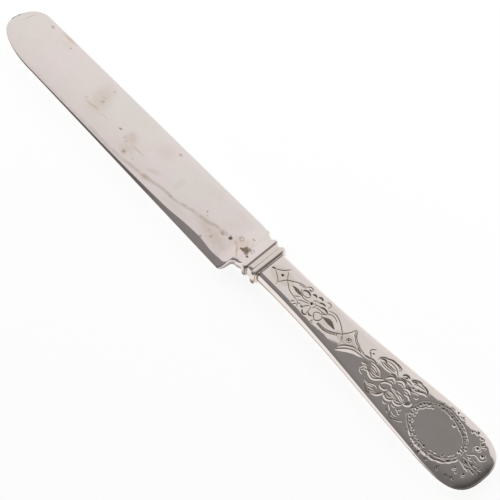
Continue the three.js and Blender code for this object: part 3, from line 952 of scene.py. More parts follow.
# Engraving, laid out on the flat of the handle as (u, y). Each stroke is a tool width and the points that it
# runs through. Bright cuts have one broad wall that faces the light and one steep dirty wall.
fine, line, bold, broad = 0.36, 0.46, 0.64, 0.8
engraving = {
    "cell": 0.05,
    "corner": (3.0, -10.5),  # of the engraved sheet, in u and y
    "area": (94, 21),
    "spacing": 0.06,  # between presses of the tool
    "press": 0.07,  # half length of one press
    "broadWall": 0.3,  # how steep the broad wall of a bright cut is
    "rimWall": 0.6,  # the same for cuts on the rounded edge side of the butt
    "keel": 0.5,  # where its deepest line lies, as a share of its half width
    "lightFrom": (-0.7, -0.7),  # the side that broad walls face, in u and y
    "soilWidth": 0.34,  # dirt along the deepest line, as a share of the half width
    "soilBlur": 0.03,  # millimetres added to that
    "soilInCuts": 0.85,
    "soilAndShadeInPits": 0.97,
    "soilInShades": 0.88,
    "strokeTip": 0.3,  # width of a stroke's ends, as a share
    "shadeDeep": 0.12,
    "shadeFill": 2.5,  # how soon a shade's dirt is full, from its border in
    "facetTip": 0.1,
    "facetSoil": 0.1,  # width of the dirt along a facet's deep side
    "facetSteep": 0.2,  # steeper facets hold less of it
    "pitWall": 0.45,
    "pitShadeShift": 0.2,  # how far a pit's dirt lies to the light's side, as a share of the radius; that puts painted shade on the wall turned from the light
    "pitFull": 0.35,
    "pitFade": 0.4,
    "firstDiamond": (
        (line, (6, 0.1), (6.6, -0.3), (7.6, -0.9), (8.5, -1.8), (9.4, -3.2)),
        (line, (6.3, 0.3), (7.3, 0.9), (8.4, 1.6), (9.4, 2.4), (9.9, 3.3)),
        (line, (9.7, 2.5), (10.6, 0.9), (11.4, -0.1), (12.6, -0.9), (13.8, -1.7), (15.4, -2.4),
         (17, -2.7)),
        (line, (9.3, -2.1), (10.3, -1.1), (11.3, 0.1), (12.4, 0.9), (13.7, 1.7), (15.2, 2.1),
         (17.8, 2.4)),
        (fine, (14.6, -1.7), (15.8, -2), (16.8, -2.2)),
        (fine, (16.4, -1.1), (16.7, -0.6), (17.1, -0.2)),
        (fine, (16.4, 2), (17, 1.5), (17.6, 0.9)),
    ),
    "firstFlower": (
        (fine, (17.1, -1), (17.5, -0.4), (18.4, -0.2), (19.4, -0.5), (20, -1.2)),
        (fine, (17.6, 0.2), (18.6, 0.5), (19.8, 0.3), (20.9, 0)),
        (fine, (18, 2.2), (18.9, 1.5), (20, 1), (21.2, 0.5)),
        (fine, (20.2, 2.9), (20.9, 2), (21.5, 1.1), (22, 0.7)),
        (fine, (22.9, 3.3), (22.9, 2.3), (22.6, 1.2), (22.4, 0.7)),
        (fine, (21.5, -1.1), (22, -1.7), (23, -2)),
        (fine, (22.3, -1), (23, -0.6), (23.2, 0), (22.7, 0.5)),
        (fine, (23.4, -0.1), (24.4, -0.4), (25.8, -0.5), (27, -0.8)),
        (fine, (23, -0.8), (24, -1.2), (24.6, -1.2)),
        (line, (16.9, -2.9), (17.4, -3.4), (18.1, -3.7), (18.8, -3.4), (18.9, -2.9), (18.2, -2.6)),
        (line, (24.7, -3.9), (25.3, -4.2), (26.1, -3.9), (26.5, -3.3), (26.1, -2.9)),
        (line, (24.3, 1.3), (25.1, 2.4), (26.2, 2.9), (27.1, 2.2), (27.4, 1.3), (26.9, 0.5), (26.1, 0.1)),
        (line, (26.1, 0.1), (26.8, -0.5), (27.5, -1)),
        (fine, (24.3, 1.3), (25, 0.5), (26.1, 0.1)),
        (fine, (17.1, 4.2), (17.2, 3.4), (17.7, 3.1)),
        (fine, (18, 4.4), (18.3, 3.6), (18.9, 3.3), (19.4, 3.7)),
        (fine, (18, 2.4), (18.7, 2.9), (19.4, 2.3)),
        (fine, (25.2, 4.6), (25.7, 4.1), (25.8, 3.5), (25.5, 3.2)),
        (fine, (26, 4.8), (26.4, 3.9)),
    ),
    "secondVesica": (
        (line, (26.8, -2.4), (29.1, -3), (31.6, -2.3), (33.9, -0.9), (35.9, 0.9), (37, 2.9)),
        (line, (27.7, 2.6), (30.7, 2.5), (33.4, 1.2), (35.1, -0.1), (36.4, -2.3), (37, -4.2)),
        (fine, (28.2, 3.2), (30.9, 3.1), (33.4, 1.9)),
        (fine, (27.2, -1.2), (28.4, -2), (29.8, -2.1), (31.2, -1.6)),
    ),
    "secondDiamond": (
        (line, (37, -4.1), (37.8, -2.8), (38.8, -1.9), (40, -1.2), (41.5, -0.9), (44.6, -0.4),
         (46.4, -0.6)),
        (fine, (37.4, -4.2), (38.2, -3.1), (39.1, -2.2), (40.3, -1.6), (41.6, -1.3)),
        (bold, (37.2, 3.6), (37.6, 2.6), (38.4, 1.7), (39.4, 0.9), (40.4, 0.3), (41.4, 0.1)),
    ),
    "bud": (
        (line, (45.5, -4.1), (44.9, -3.5), (44.7, -2.8), (45.2, -2.1), (45.8, -1.6), (46.3, -1.2)),
        (broad, (45.6, 1.6), (46.4, 1.2), (47.3, 1.2)),
        (bold, (46.4, 1.9), (47.2, 1.6), (48.2, 1.8)),
        (broad, (48.6, 2), (49.7, 2.1), (50.8, 2.25), (51.8, 1.9)),
        (bold, (47.6, -0.5), (48.6, -0.75), (49.8, -0.65), (51.1, -0.4), (52.1, 0.5)),
        (line, (48.2, 0.1), (49.5, 0), (50.8, 0.4)),
        (fine, (48.8, 0.9), (50, 0.8), (51.2, 1.1)),
        (line, (49.3, 1.5), (50.4, 1.5), (51.6, 1.3), (52.6, 0.8)),
        (broad, (47.9, 2.7), (48.8, 2.2), (50, 2.8), (51.2, 2.95), (52.1, 2.4), (53, 1.5), (53.9, 0.7)),
        (bold, (48, 1.4), (48.4, 2), (48.9, 2.3)),
        (fine, (46.4, 3.4), (46.4, 2.6), (46.9, 2.1), (47.5, 1.9)),
        (fine, (46.7, 3.6), (47.3, 4), (48.3, 4.2)),
        (fine, (47.1, 3.3), (47.4, 2.6), (47.9, 2.3)),
    ),
    "spineLeaf": (
        (line, (50.4, -4.9), (51.6, -5.3), (53.2, -5.4), (54.6, -5.1), (55.2, -4.6)),
        (line, (50.6, -4.2), (52, -4.5), (53.6, -4.4), (54.8, -3.9), (55.8, -3.1)),
        (bold, (49.2, -2.6), (50.6, -2.3), (52.2, -2.3), (54, -2.6)),
        (broad, (49.8, -3), (51.2, -2.9), (52.8, -3), (54.4, -3.2)),
        (line, (50.4, -3.4), (51.8, -3.5), (53.4, -3.6), (54.4, -3.8)),
    ),
    "secondFlower": (
        (broad, (54.2, -0.2), (54.6, -1.2), (55.4, -1.85), (56.3, -1.75), (57, -1.1)),
        (fine, (55.2, -0.2), (55.9, -0.7), (56.8, -0.6)),
        (broad, (56.9, -2), (57.6, -2.8), (58.5, -3.1), (59.4, -2.8), (60.1, -2.3)),
        (fine, (57.8, -1.6), (58.6, -2.1), (59.5, -1.9)),
        (broad, (60, -1.8), (60.8, -2.3), (61.8, -2.4), (62.6, -1.9)),
        (fine, (60.9, -1.3), (61.7, -1.5), (62.5, -1.2)),
        (broad, (57.1, 3.1), (57.6, 4), (58.6, 4.4), (59.6, 4.1), (60.3, 3.5)),
        (fine, (58.1, 3.1), (58.7, 3.6), (59.4, 3.3)),
        (broad, (60.5, 3.1), (61.3, 3.5), (62.4, 3.3), (63.2, 2.6)),
        (broad, (63.2, 2), (64.2, 1.6), (64.9, 0.9), (64.9, 0), (64.4, -0.6)),
        (bold, (61.5, -0.6), (62.6, -0.95), (63.4, -0.7), (64, -0.2)),
        (line, (58.2, 1.2), (59.6, 1.1), (61.2, 1.4), (62.6, 1.8)),
        (line, (57.5, 2.4), (58.6, 2.6), (59.8, 2.4), (60.8, 2.2)),
        (bold, (57.4, 0.9), (58.3, 0.6), (59.3, 0.75)),
        (broad, (57.6, 2.05), (58.6, 1.95), (59.9, 2)),
        (broad, (60.4, 0.75), (61.5, 0.85), (62.6, 1.3)),
        (line, (60.4, 2.75), (61.4, 2.75), (62.3, 2.4)),
        (fine, (58.6, 0.3), (60.2, 0.1), (61.8, 0.4), (62.8, 0.9)),
        (bold, (54.25, 2.2), (54.5, 1.2), (55.4, 0.5), (56.6, 0.15), (57.4, 0.6)),
        (bold, (54.3, 2.4), (55, 3), (56.1, 2.9), (56.9, 2.1)),
    ),
    "spineLeafTwo": (
        (line, (56.9, -4.2), (57.3, -4.8), (58, -5.1), (58.9, -5)),
        (bold, (57.3, -4.2), (58.4, -3.9), (59.6, -4.1), (60.8, -4)),
        (fine, (60.4, -5), (61.2, -5.9), (62.3, -6.4), (63.2, -6.2)),
        (line, (61.2, -4.8), (62.2, -5.4), (63.4, -5.6), (64.6, -5.9)),
        (broad, (62.7, -3.5), (64.1, -4.3), (65.3, -5), (66.4, -5)),
        (fine, (62.8, -2.7), (63.6, -3.3), (64.4, -3.4)),
        (fine, (64.2, -1.9), (64.9, -2.2), (65, -2.8)),
    ),
    "edgeLeaf": (
        (line, (50.2, 5), (51.4, 4.9), (52.5, 4.3), (53.6, 3.8), (54.5, 4.1)),
        (line, (50.5, 5.5), (51.6, 6.2), (52.6, 6.8), (53.5, 7.1), (54.5, 6.6)),
        (broad, (54.6, 6.5), (55.8, 5.8), (56.5, 4.8), (56.8, 3.7)),
        (fine, (52.3, 5.7), (53.4, 5.4), (54.6, 5.2)),
        (line, (53, 6.2), (54, 6), (55.2, 5.2)),
        (fine, (51.2, 5.4), (52.2, 5), (53.3, 4.7)),
        (line, (60.6, 5), (61.9, 5.8), (62.9, 6.8), (63.6, 7.8)),
        (bold, (61, 6.5), (61.9, 7), (62.4, 7.1)),
        (line, (63.7, 7.8), (65.2, 7.3), (66.5, 6.6), (67.3, 5.9)),
        (fine, (63, 4.5), (64, 4.7), (65, 5.1)),
        (line, (62.9, 6), (63.9, 6.3), (64.9, 6.1)),
        (line, (63.2, 6.9), (64.2, 6.9), (65.2, 6.6)),
        (line, (58.6, 5.2), (59.2, 5.7), (60, 5.4)),
        (fine, (64.4, 3.4), (64.1, 4.1), (63.6, 4.7)),
        (fine, (61.2, 4.1), (61.8, 4.6), (62.6, 4.4)),
    ),
    "ovalLines": (
        (fine, (66.1, 3.1), (67.8, 4.5), (69.6, 5.8), (71.2, 6.6), (72.8, 7.3), (74.2, 7.5), (75.9, 7.5)),
        (fine, (68, 3.2), (69.4, 4.5), (71, 5.3), (72.4, 6.4), (73.8, 6.5), (75.6, 6.7), (77.3, 6.7),
         (79.1, 6.9), (80.7, 6.6), (82.1, 6.1), (83.5, 5.6), (84.9, 4.8), (85.5, 3.8), (85.8, 2.3),
         (86.2, 0.8)),
        (fine, (65.9, 1.1), (65.8, -0.2), (66.2, -1.7), (66.7, -3.1), (67.9, -4.4), (69.5, -5.4),
         (71.2, -6.2), (73.1, -6.9), (75.1, -7.2), (77.2, -7), (79, -6.8), (80.6, -6.5), (82.3, -5.8),
         (83.8, -4.9), (85, -4.1), (85.9, -2.9), (86.2, -1.7)),
        (fine, (67.2, 3), (67.6, 1.8), (67.7, 0.6), (67.6, -0.7), (68.3, -1.5), (68.7, -2.4),
         (69.6, -3.1), (70.1, -3.9)),
        (fine, (72.1, -5.4), (73.4, -5.7), (75.2, -5.8), (77, -5.7), (78.6, -5.3), (80.1, -4.8),
         (81.6, -4.3), (83, -3.6), (84.2, -2.7), (85.2, -2.1)),
        (line, (81, 6.7), (82.4, 6.1), (83.5, 5.2), (84.6, 4.3), (85.3, 3.4)),
    ),
    # scallops and curls on the rounded edge side
    "rimCuts": (
        (0.5, (76.4, 9.1), (77.2, 9.35), (78, 9)),
        (0.5, (79.4, 9), (80.2, 9.1), (80.9, 8.6)),
        (0.5, (83.8, 8.6), (84.6, 8.9), (85.3, 8.3)),
        (0.45, (87.3, 8.1), (88, 8.4), (88.8, 7.9)),
        (0.5, (89, 7.5), (89.8, 7.8), (90.6, 7.3)),
    ),
    "buttSpray": (
        (fine, (87.2, 0.4), (88.6, 0.3), (90.2, 0.7), (91.8, 1.1), (93.4, 0.8), (94.4, 0.9)),
        (line, (87.2, 1.9), (88.4, 2), (89.7, 1.6), (91, 1.4)),
        (line, (90.2, 1.9), (91, 2.6), (91.6, 2.7)),
        (line, (91.9, 1.6), (92.8, 2.1), (93.5, 1.9)),
        (fine, (88.6, -0.3), (89.4, -0.2), (90.2, -0.5)),
        (line, (91, 0), (91.9, 0.1), (92.6, -0.2)),
        (line, (92.7, 0.3), (93.4, 0), (94.1, -0.4)),
        (line, (87.6, 2.1), (89.1, 2.3), (90.4, 2.6), (91.3, 2), (92.6, 2), (93.3, 1.2), (94.4, 1)),
        (line, (87.4, -0.8), (88.3, -1.5), (89.2, -2.5), (90.5, -2.5), (91.6, -2.4), (92.4, -3.2),
         (92.5, -4.1), (91.5, -4.7)),
        (line, (88, -3.1), (87.3, -4.1), (87.6, -5.1), (88.7, -5.2), (89.5, -4.7), (89.2, -3.8)),
        (line, (86.3, -7.2), (87, -7.7), (87.9, -7.6), (87.8, -6.7), (88.8, -5.6), (89.9, -6.5),
         (90.1, -5.7)),
        (line, (83.2, -7.1), (84, -7.6), (85.3, -7.6), (85.2, -8.3), (84.2, -8.3)),
        (line, (90.7, 4.6), (91.4, 5.1), (92.2, 4.5)),
        (line, (87.6, 4.8), (88.2, 5.4), (88.9, 4.9)),
        (line, (73.6, -8), (74.6, -8.1), (75.4, -7.9)),
        (line, (77.4, -7.9), (78.4, -7.8), (79.6, -8.1)),
    ),
    # shallow strokes that are dark all over
    "shades": (
        (0.55, (4.9, 0.4), (5.4, 0.1), (6, 0)),
        (0.62, (16.9, -1.3), (17.6, -1.9), (18.6, -2.05), (19.7, -1.6)),
        (0.62, (19.8, -2.5), (20.5, -2.9), (21.3, -2.7)),
        (0.68, (21.7, -3.2), (22.5, -3.6), (23.3, -3.3)),
        (0.55, (23.1, -2.1), (24, -2.6), (25.1, -2.75)),
        (0.62, (24.4, -1.3), (25.3, -1.75), (26.3, -1.8), (27.2, -1.5)),
        (0.55, (21.1, 3.2), (21.7, 3.8), (22.5, 3.95), (23.2, 3.4)),
        (0.45, (23, 2.5), (23.8, 2.9), (24.6, 2.6)),
        (0.4, (17.9, -2.8), (18.6, -2.9)),
        (0.45, (19.8, 2.5), (20.3, 2.8), (20.8, 2.6)),
        (0.45, (41.2, -0.7), (42.2, -0.4), (43.2, -0.2)),
        (0.4, (44.6, -0.6), (46, -0.95), (47.5, -1.4), (48.9, -1.2)),
        (0.4, (48.2, -2.7), (48.2, -3.5), (49, -4.4), (50.2, -4.9), (51.2, -5.5), (52.6, -5.75),
         (54, -5.7), (54.9, -5.6), (55.4, -4.9)),
        (0.62, (48.5, -3.3), (49.3, -3.85), (50.1, -3.85), (50.7, -3.5)),
        (0.55, (54, -2), (54.9, -2.5), (55.9, -2.4)),
        (0.55, (57, -3.4), (58.2, -3.7), (59.5, -3.5)),
        (0.5, (60.6, -2.9), (61.4, -3), (62.3, -2.7)),
        (0.45, (56.8, -4.4), (57.2, -5.1), (58, -5.4), (58.9, -5.3)),
        (0.5, (59.6, -5.3), (60.4, -5.95), (61.2, -6.55), (62.2, -6.8), (63.2, -6.65)),
        (0.5, (59.9, -5.1), (60.8, -5.5), (61.8, -5.8)),
        (0.55, (63, -6.5), (64.2, -6.55), (65.3, -6.2), (66.2, -5.3)),
        (0.6, (63.6, 1.3), (64.2, 0.7), (64.2, 0)),
        (0.4, (57.5, 3.2), (58.5, 3.2), (59.6, 2.9)),
        (0.55, (88.2, 1), (89, 1.2), (89.8, 1.1)),
        (0.45, (90.6, 0.5), (91.4, 0.5)),
        (0.4, (90.2, -1.2), (91, -1.2)),
        (0.4, (92.4, -0.5), (93.2, -0.5)),
    ),
    # broad cuts that slope up to the edge side
    "facets": (
        (0.8, 0.2, (52.4, 7.1), (53.6, 7), (54.8, 6.3), (55.8, 5.4), (56.5, 4.2)),
        (1.15, 0.2, (37.1, 4.8), (38, 3.9), (39, 2.9), (40.1, 2), (41.6, 1.2), (43.2, 0.8), (44.4, 0.4)),
        (0.8, 0.4, (70.4, 6.2), (71.5, 6.9), (72.7, 7.2)),
        (0.95, 0.45, (72.1, 7.15), (73.3, 7.7), (74.8, 7.85)),
        (1.1, 0.5, (74.1, 7.85), (75.6, 8.1), (77.4, 7.95)),
        (1.15, 0.5, (76.7, 7.95), (78.5, 8.1), (80.5, 7.75)),
        (1.15, 0.5, (79.8, 7.85), (81.4, 7.6), (82.8, 7.05)),
        (1.1, 0.45, (82.2, 7.2), (83.8, 6.5), (85.2, 5.4)),
        (1, 0.42, (84.7, 5.7), (85.7, 4.6), (86.3, 3.5)),
        (0.75, 0.4, (86.1, 4), (86.6, 3.1), (86.9, 2.1)),
    ),
    # soft grey tone without a cut: width, strength, points
    "tones": (
        (1, 0.4, (69.3, -6.5), (71.3, -7.1), (73.3, -7.5), (75.2, -7.7)),
        (1.9, 0.44, (66, 2.4), (66.1, 0.8), (66.4, -1), (67.4, -3.1), (69.5, -4.8), (71.9, -5.9),
         (74.8, -6.4), (77.1, -6.2), (79.8, -5.5), (82.1, -4.5), (84.3, -3), (85.8, -0.8)),
        (1.3, 0.3, (66.8, 3.6), (68.3, 4.7), (69.8, 5.6), (71.4, 6.4)),
        (3.2, 0.3, (87.8, 1.2), (90, 1.2), (92.4, 1.1), (94.2, 0.6)),
        (6.5, 0.13, (81, 8.2), (84, 7.4), (87.5, 6.2), (91, 4.2)),
        (6, 0.14, (5.6, 0.2), (9, 0), (12.6, 0)),
        (7, 0.07, (15.4, 0.2), (22, 0), (30.5, 0.3)),
        (4.6, 0.13, (33.6, 0.4), (37.8, -0.2), (41.6, -0.4)),
    ),
    # leaves shaded by rows of short cuts: start, end, bow to the spine side, half width
    "hatchedLeaves": (((13.7, 0.0), (18.1, 0.1), 0.0, 0.5), ((27.3, 0.4), (32.2, 0.5), 0.45, 0.75)),
    "hatching": {"every": 0.3, "ends": 0.15, "lean": 0.3, "width": 0.34},
    # single pits: u, y, radius
    "pits": (
        (9.1, 0, 0.6), (21.8, -0.05, 0.66), (37.85, -0.2, 0.5), (46, -2.7, 0.34), (58.3, -4.6, 0.5),
        (63.4, -4.4, 0.34), (61.9, -3.7, 0.42), (64.8, 5, 0.32), (63.2, 1.4, 0.3), (71.4, -6.5, 0.4),
        (72.5, -5.7, 0.4), (76.2, -5.8, 0.46), (78.5, -4.5, 0.5), (80.6, -4.8, 0.42), (82.5, -4.3, 0.42),
        (84.2, -3.5, 0.36), (86.3, -1.6, 0.4), (85.4, -0.8, 0.36), (85.4, 0.4, 0.48), (83.1, 4.8, 0.4),
        (77.2, 6.6, 0.48), (75, 6.6, 0.36), (78.6, 7.4, 0.36), (71.2, 5.2, 0.46), (69.2, 3.6, 0.36),
        (67.4, 0, 0.42), (68.9, -3.6, 0.34), (77.2, 8.8, 0.55), (74, 8.8, 0.34), (75, 8.9, 0.3),
        (80, 8.7, 0.36), (76.5, -8.2, 0.5), (78.6, -8.3, 0.4), (88.4, -4.4, 0.62), (88.7, -6.3, 0.52),
        (91.1, -3.7, 0.6), (87.1, -7.4, 0.36), (83.6, -7, 0.34), (85, -8.1, 0.5), (91.4, 4.3, 0.56),
        (88.2, 4.6, 0.46), (89.4, 5.5, 0.36), (89.7, 7.2, 0.36), (84.4, 8.2, 0.42), (84.7, 7.6, 0.3),
        (88, 7.9, 0.34), (88.7, -0.8, 0.42), (89.2, 1.1, 0.4), (90.9, 0.4, 0.36), (92.6, 0.9, 0.3),
    ),
    "thinRing": (38.0, -0.15, 0.68, 0.68),  # u, y and its half lengths
    "ringLeast": 24,  # points of a small ring
    # short dashes in rows round the oval: half length and half width of the row, how many, and the share that
    # is kept on the spine side
    "dashes": {
        "centre": (76.7, 0.35), "length": 0.75, "shortest": 0.7, "longest": 1.2, "spread": 0.25, "lean": 0.6,
        "seed": 11,
        "rows": ((9.6, 6.9, 30, 0.5), (8.7, 6.0, 24, 0.35), (10.5, 8.0, 20, 0.25)),
    },
    # pits of a beaded row between the oval's lines: turns in degrees from the butt end
    "beads": {
        "centre": (76.3, 0.0), "halfLong": 9.6, "halfWide": 6.5, "from": 112, "to": 356, "count": 30,
        "radius": 0.32, "smallest": 0.8, "largest": 1.3, "spread": 0.2, "seed": 4,
    },
    # short shades along a side of the second vesica
    "ticks": {"length": 0.7, "width": 0.36, "every": 0.42, "count": 16},
}
strokeMotifs = (
    "firstDiamond", "firstFlower", "secondVesica", "secondDiamond", "bud", "spineLeaf", "secondFlower",
    "spineLeafTwo", "edgeLeaf", "ovalLines", "buttSpray",
)
pressBatch = 20  # points of a path that are pressed in together


def cutPath(points):
    return smoothPath(points, engraving["spacing"])


def ringPath(centreU, centreY, halfLong, halfWide):
    count = max(engraving["ringLeast"], int(2 * math.pi * halfLong / engraving["spacing"]))
    around = np.linspace(0, 2 * math.pi, count)
    return np.column_stack([centreU + halfLong * np.cos(around), centreY + halfWide * np.sin(around)])


# half widths along a stroke that narrows toward both ends
def tapered(path, width, tip, power=3):
    run = np.abs(np.linspace(-1, 1, len(path)))
    return width / 2 * (1 - (1 - tip) * run ** power)


class Plate:
    # depth of cut, and dirt with painted shade in the pits, over the handle's face, in small cells
    def __init__(self):
        self.cell = engraving["cell"]
        self.lowU, self.lowY = engraving["corner"]
        self.depth = np.zeros([int(side / self.cell) for side in engraving["area"]], np.float32)
        self.soilAndShade = np.zeros_like(self.depth)

    def window(self, path, reach):
        low = np.floor((path.min(0) - reach - (self.lowU, self.lowY)) / self.cell).astype(int)
        high = np.ceil((path.max(0) + reach - (self.lowU, self.lowY)) / self.cell).astype(int)
        low = np.maximum(low, 0)
        high = np.minimum(high, self.depth.shape)
        u = self.lowU + np.arange(low[0], high[0]) * self.cell
        y = self.lowY + np.arange(low[1], high[1]) * self.cell
        return (slice(low[0], high[0]), slice(low[1], high[1])), *np.meshgrid(u, y, indexing="ij")

    # stampAt gives depth and dirt for offsets along and across the path
    def press(self, path, halves, stampAt):
        along = np.gradient(path, axis=0) if len(path) > 1 else np.array([[1.0, 0.0]])
        along /= np.maximum(np.linalg.norm(along, axis=1), 1e-9)[:, None]
        across = np.column_stack([-along[:, 1], along[:, 0]])
        turned = np.where(across @ np.array(engraving["lightFrom"]) < 0, -1.0, 1.0)
        across *= turned[:, None]
        for k in range(0, len(path), pressBatch):
            batch = slice(k, k + pressBatch + 1)
            part, half = path[batch], halves[batch]
            place, u, y = self.window(part, half.max())
            offU, offY = u[..., None] - part[:, 0], y[..., None] - part[:, 1]
            ahead = offU * along[batch, 0] + offY * along[batch, 1]
            aside = offU * across[batch, 0] + offY * across[batch, 1]
            depth, soilAndShade = stampAt(ahead, aside, half, turned[batch])
            self.depth[place] = np.maximum(self.depth[place], depth.max(-1))
            self.soilAndShade[place] = np.maximum(self.soilAndShade[place], soilAndShade.max(-1))

    def cut(self, path, width, tip=engraving["strokeTip"], wall=engraving["broadWall"]):
        def stampAt(ahead, aside, half, turned):
            keel = engraving["keel"] * half
            deepest = wall * (half + keel)
            depth = deepest * np.minimum((aside + half) / (half + keel), (half - aside) / (half - keel))
            near = np.abs(ahead) < engraving["press"]
            dirtWidth = engraving["soilWidth"] * half + engraving["soilBlur"]
            dirt = bell(aside - keel, dirtWidth) * engraving["soilInCuts"]
            return np.where(near, np.clip(depth, 0, None), 0), np.where(near, dirt, 0)

        self.press(path, tapered(path, width, tip), stampAt)

    def shade(self, path, width, dirt=engraving["soilInShades"], deep=engraving["shadeDeep"]):
        def stampAt(ahead, aside, half, turned):
            inside = np.clip(1 - np.hypot(ahead, aside) / half, 0, 1)
            return deep * inside, dirt * smooth(inside * engraving["shadeFill"])

        self.press(path, tapered(path, width, engraving["strokeTip"]), stampAt)

    def facet(self, path, width, slope):
        held = engraving["soilInCuts"] * (engraving["facetSteep"] / slope) ** 3

        def stampAt(ahead, aside, half, turned):
            inside = np.hypot(ahead, aside) < half
            dirt = held * bell(aside - half, engraving["facetSoil"])
            return np.where(inside, slope * np.clip(half + aside, 0, None), 0), np.where(inside, dirt, 0)

        self.press(path, tapered(path, width, engraving["facetTip"], power=2), stampAt)

    def pit(self, u, y, radius):
        # dirt in the pit, moved onto the wall turned from the light as painted shade, so the wall facing it
        # stays bright
        shift = engraving["pitShadeShift"] * np.array(engraving["lightFrom"])

        def stampAt(ahead, aside, half, turned):
            deep = engraving["pitWall"] * np.clip(half - np.hypot(ahead, aside), 0, None)
            spread = np.hypot(ahead - half * shift[0], aside * turned - half * shift[1]) / half
            left = 1 - smooth((spread - engraving["pitFull"]) / engraving["pitFade"])
            return deep, engraving["soilAndShadeInPits"] * left

        self.press(np.array([[u, y]], float), np.array([radius]), stampAt)

    def sample(self, layer, u, y):
        a = np.clip((u - self.lowU) / self.cell, 0, layer.shape[0] - 1.001)
        b = np.clip((y - self.lowY) / self.cell, 0, layer.shape[1] - 1.001)
        i, j = a.astype(int), b.astype(int)
        a, b = a - i, b - j
        near = layer[i, j] * (1 - b) + layer[i, j + 1] * b
        far = layer[i + 1, j] * (1 - b) + layer[i + 1, j + 1] * b
        return near * (1 - a) + far * a


def hatchLeaf(plate, look, start, end, bow, half):
    middle = ((start[0] + end[0]) / 2, (start[1] + end[1]) / 2 - bow)
    stem = smoothPath((start, middle, end), look["every"])
    swell = np.sin(np.linspace(look["ends"], math.pi - look["ends"], len(stem))) * half
    for (u, y), reach in zip(stem, swell):
        lean = look["lean"] * reach
        plate.shade(cutPath(((u - lean, y - reach), (u + lean, y + reach))), look["width"])
    plate.cut(cutPath((start, (middle[0], middle[1] + half), end)), fine)


def dashRows(plate, look):
    chance = np.random.default_rng(look["seed"])
    centre = np.array(look["centre"])
    for halfLong, halfWide, count, reach in look["rows"]:
        for k in range(count):
            turn = 2 * math.pi * (k + chance.uniform(-look["spread"], look["spread"])) / count
            # rows thin out on the spine side, where lines take their place
            if math.sin(turn) < 0 and chance.uniform() > reach:
                continue
            middle = centre + np.array((halfLong * math.cos(turn), halfWide * math.sin(turn)))
            run = np.array((-halfLong * math.sin(turn), halfWide * math.cos(turn)))
            stretch = chance.uniform(look["shortest"], look["longest"])
            run *= look["length"] * stretch / 2 / np.linalg.norm(run)
            lean = chance.uniform(-look["lean"], look["lean"])
            run = np.array((run[0] - lean * run[1], run[1] + lean * run[0]))
            width = (fine, line, bold)[int(chance.integers(3))]
            plate.cut(cutPath((middle - run, middle + run)), width)


def beadRow(plate, look):
    chance = np.random.default_rng(look["seed"])
    stray = look["spread"]
    for turn in np.radians(np.linspace(look["from"], look["to"], look["count"])):
        u = look["centre"][0] + look["halfLong"] * math.cos(turn) + chance.uniform(-stray, stray)
        y = look["centre"][1] + look["halfWide"] * math.sin(turn) + chance.uniform(-stray, stray)
        plate.pit(u, y, look["radius"] * chance.uniform(look["smallest"], look["largest"]))


# short shades that stand out from one side of a stroke
def tickRow(plate, look, points):
    stem = smoothPath(points, look["every"])
    out = np.gradient(stem, axis=0)
    out = np.column_stack([-out[:, 1], out[:, 0]]) / np.linalg.norm(out, axis=1)[:, None]
    for root, side in list(zip(stem, out))[:look["count"]]:
        plate.shade(cutPath((root, root + side * look["length"])), look["width"])


def engraveFace():
    plate = Plate()
    for motif in strokeMotifs:
        for width, *points in engraving[motif]:
            plate.cut(cutPath(points), width)
    for width, *points in engraving["rimCuts"]:
        plate.cut(cutPath(points), width, wall=engraving["rimWall"])
    for width, slope, *points in engraving["facets"]:
        plate.facet(cutPath(points), width, slope)
    for width, dirt, *points in engraving["tones"]:
        plate.shade(cutPath(points), width, dirt, deep=0)
    for leaf in engraving["hatchedLeaves"]:
        hatchLeaf(plate, engraving["hatching"], *leaf)
    dashRows(plate, engraving["dashes"])
    beadRow(plate, engraving["beads"])
    tickRow(plate, engraving["ticks"], engraving["secondVesica"][1][1:])
    plate.cut(ringPath(*engraving["thinRing"]), fine, tip=1.0)
    for width, *points in engraving["shades"]:
        plate.shade(cutPath(points), width)
    for u, y, radius in engraving["pits"]:
        plate.pit(u, y, radius)
    return plate


facePlate = engraveFace()
print("engraving laid out, deepest cut", round(float(facePlate.depth.max()), 3), "mm")


# A struck half shell: a grid rolled round its section, outer crown first, then the wall inside it.
frontShellSizes = {
    "station": 0.3, "rimSteps": 12, "flatSteps": 24, "endSteps": 18,
    "cuts": 2, "near": 5,  # faces within so many cells of the engraving are cut so often
}
backShellSizes = {"station": 0.9, "rimSteps": 12, "flatSteps": 8, "endSteps": 14}
endZone = 1.9  # the last stretch of the butt gets closer stations
endCrowding = 2.4  # how stations close up to the end
rimCrowding = 2.6  # and columns to the rim
slack = 0.001  # part of a grid step, for rounding
insideShares = np.array((1.0, 0.97, 0.88, 0.5, 0.0, -0.5, -0.88, -0.97, -1.0))


def shellStations(size):
    reach = handleSizes["reach"]
    body = np.arange(handleSizes["shellFront"], reach - endZone, size["station"])
    left = 1 - np.arange(size["endSteps"] + 1) / size["endSteps"]
    return np.concatenate([body, reach - endZone * left ** endCrowding])


# shares of the half width across the outside, from rim to rim
def shellColumns(size):
    rimShare = 1 - handleSizes["flatShare"]
    rim = rimShare * (np.arange(size["rimSteps"] + 1) / size["rimSteps"]) ** rimCrowding
    flat = np.linspace(rimShare, 1, size["flatSteps"] + 1)[1:]
    half = 1 - np.concatenate([rim, flat])
    return np.concatenate([-half, half[-2::-1]])


# For points of the grid: u, y on the outside, whether they lie there, half width and place round the section.
def rolled(points, stations, across):
    columns = len(across) + len(insideShares)
    along = (points[:, 0] + 1) / 2 * (len(stations) - 1)
    around = (points[:, 1] + 1) / 2 * columns
    around = np.where(around > columns - slack, 0, around)
    u = np.interp(along, np.arange(len(stations)), stations)
    outside = around < len(across) - 1 + slack
    share = np.interp(around, np.arange(len(across)), across)
    halfWidth = np.interp(u, outerLine[:, 0], outerLine[:, 1])
    return u, share * halfWidth, outside, halfWidth, around


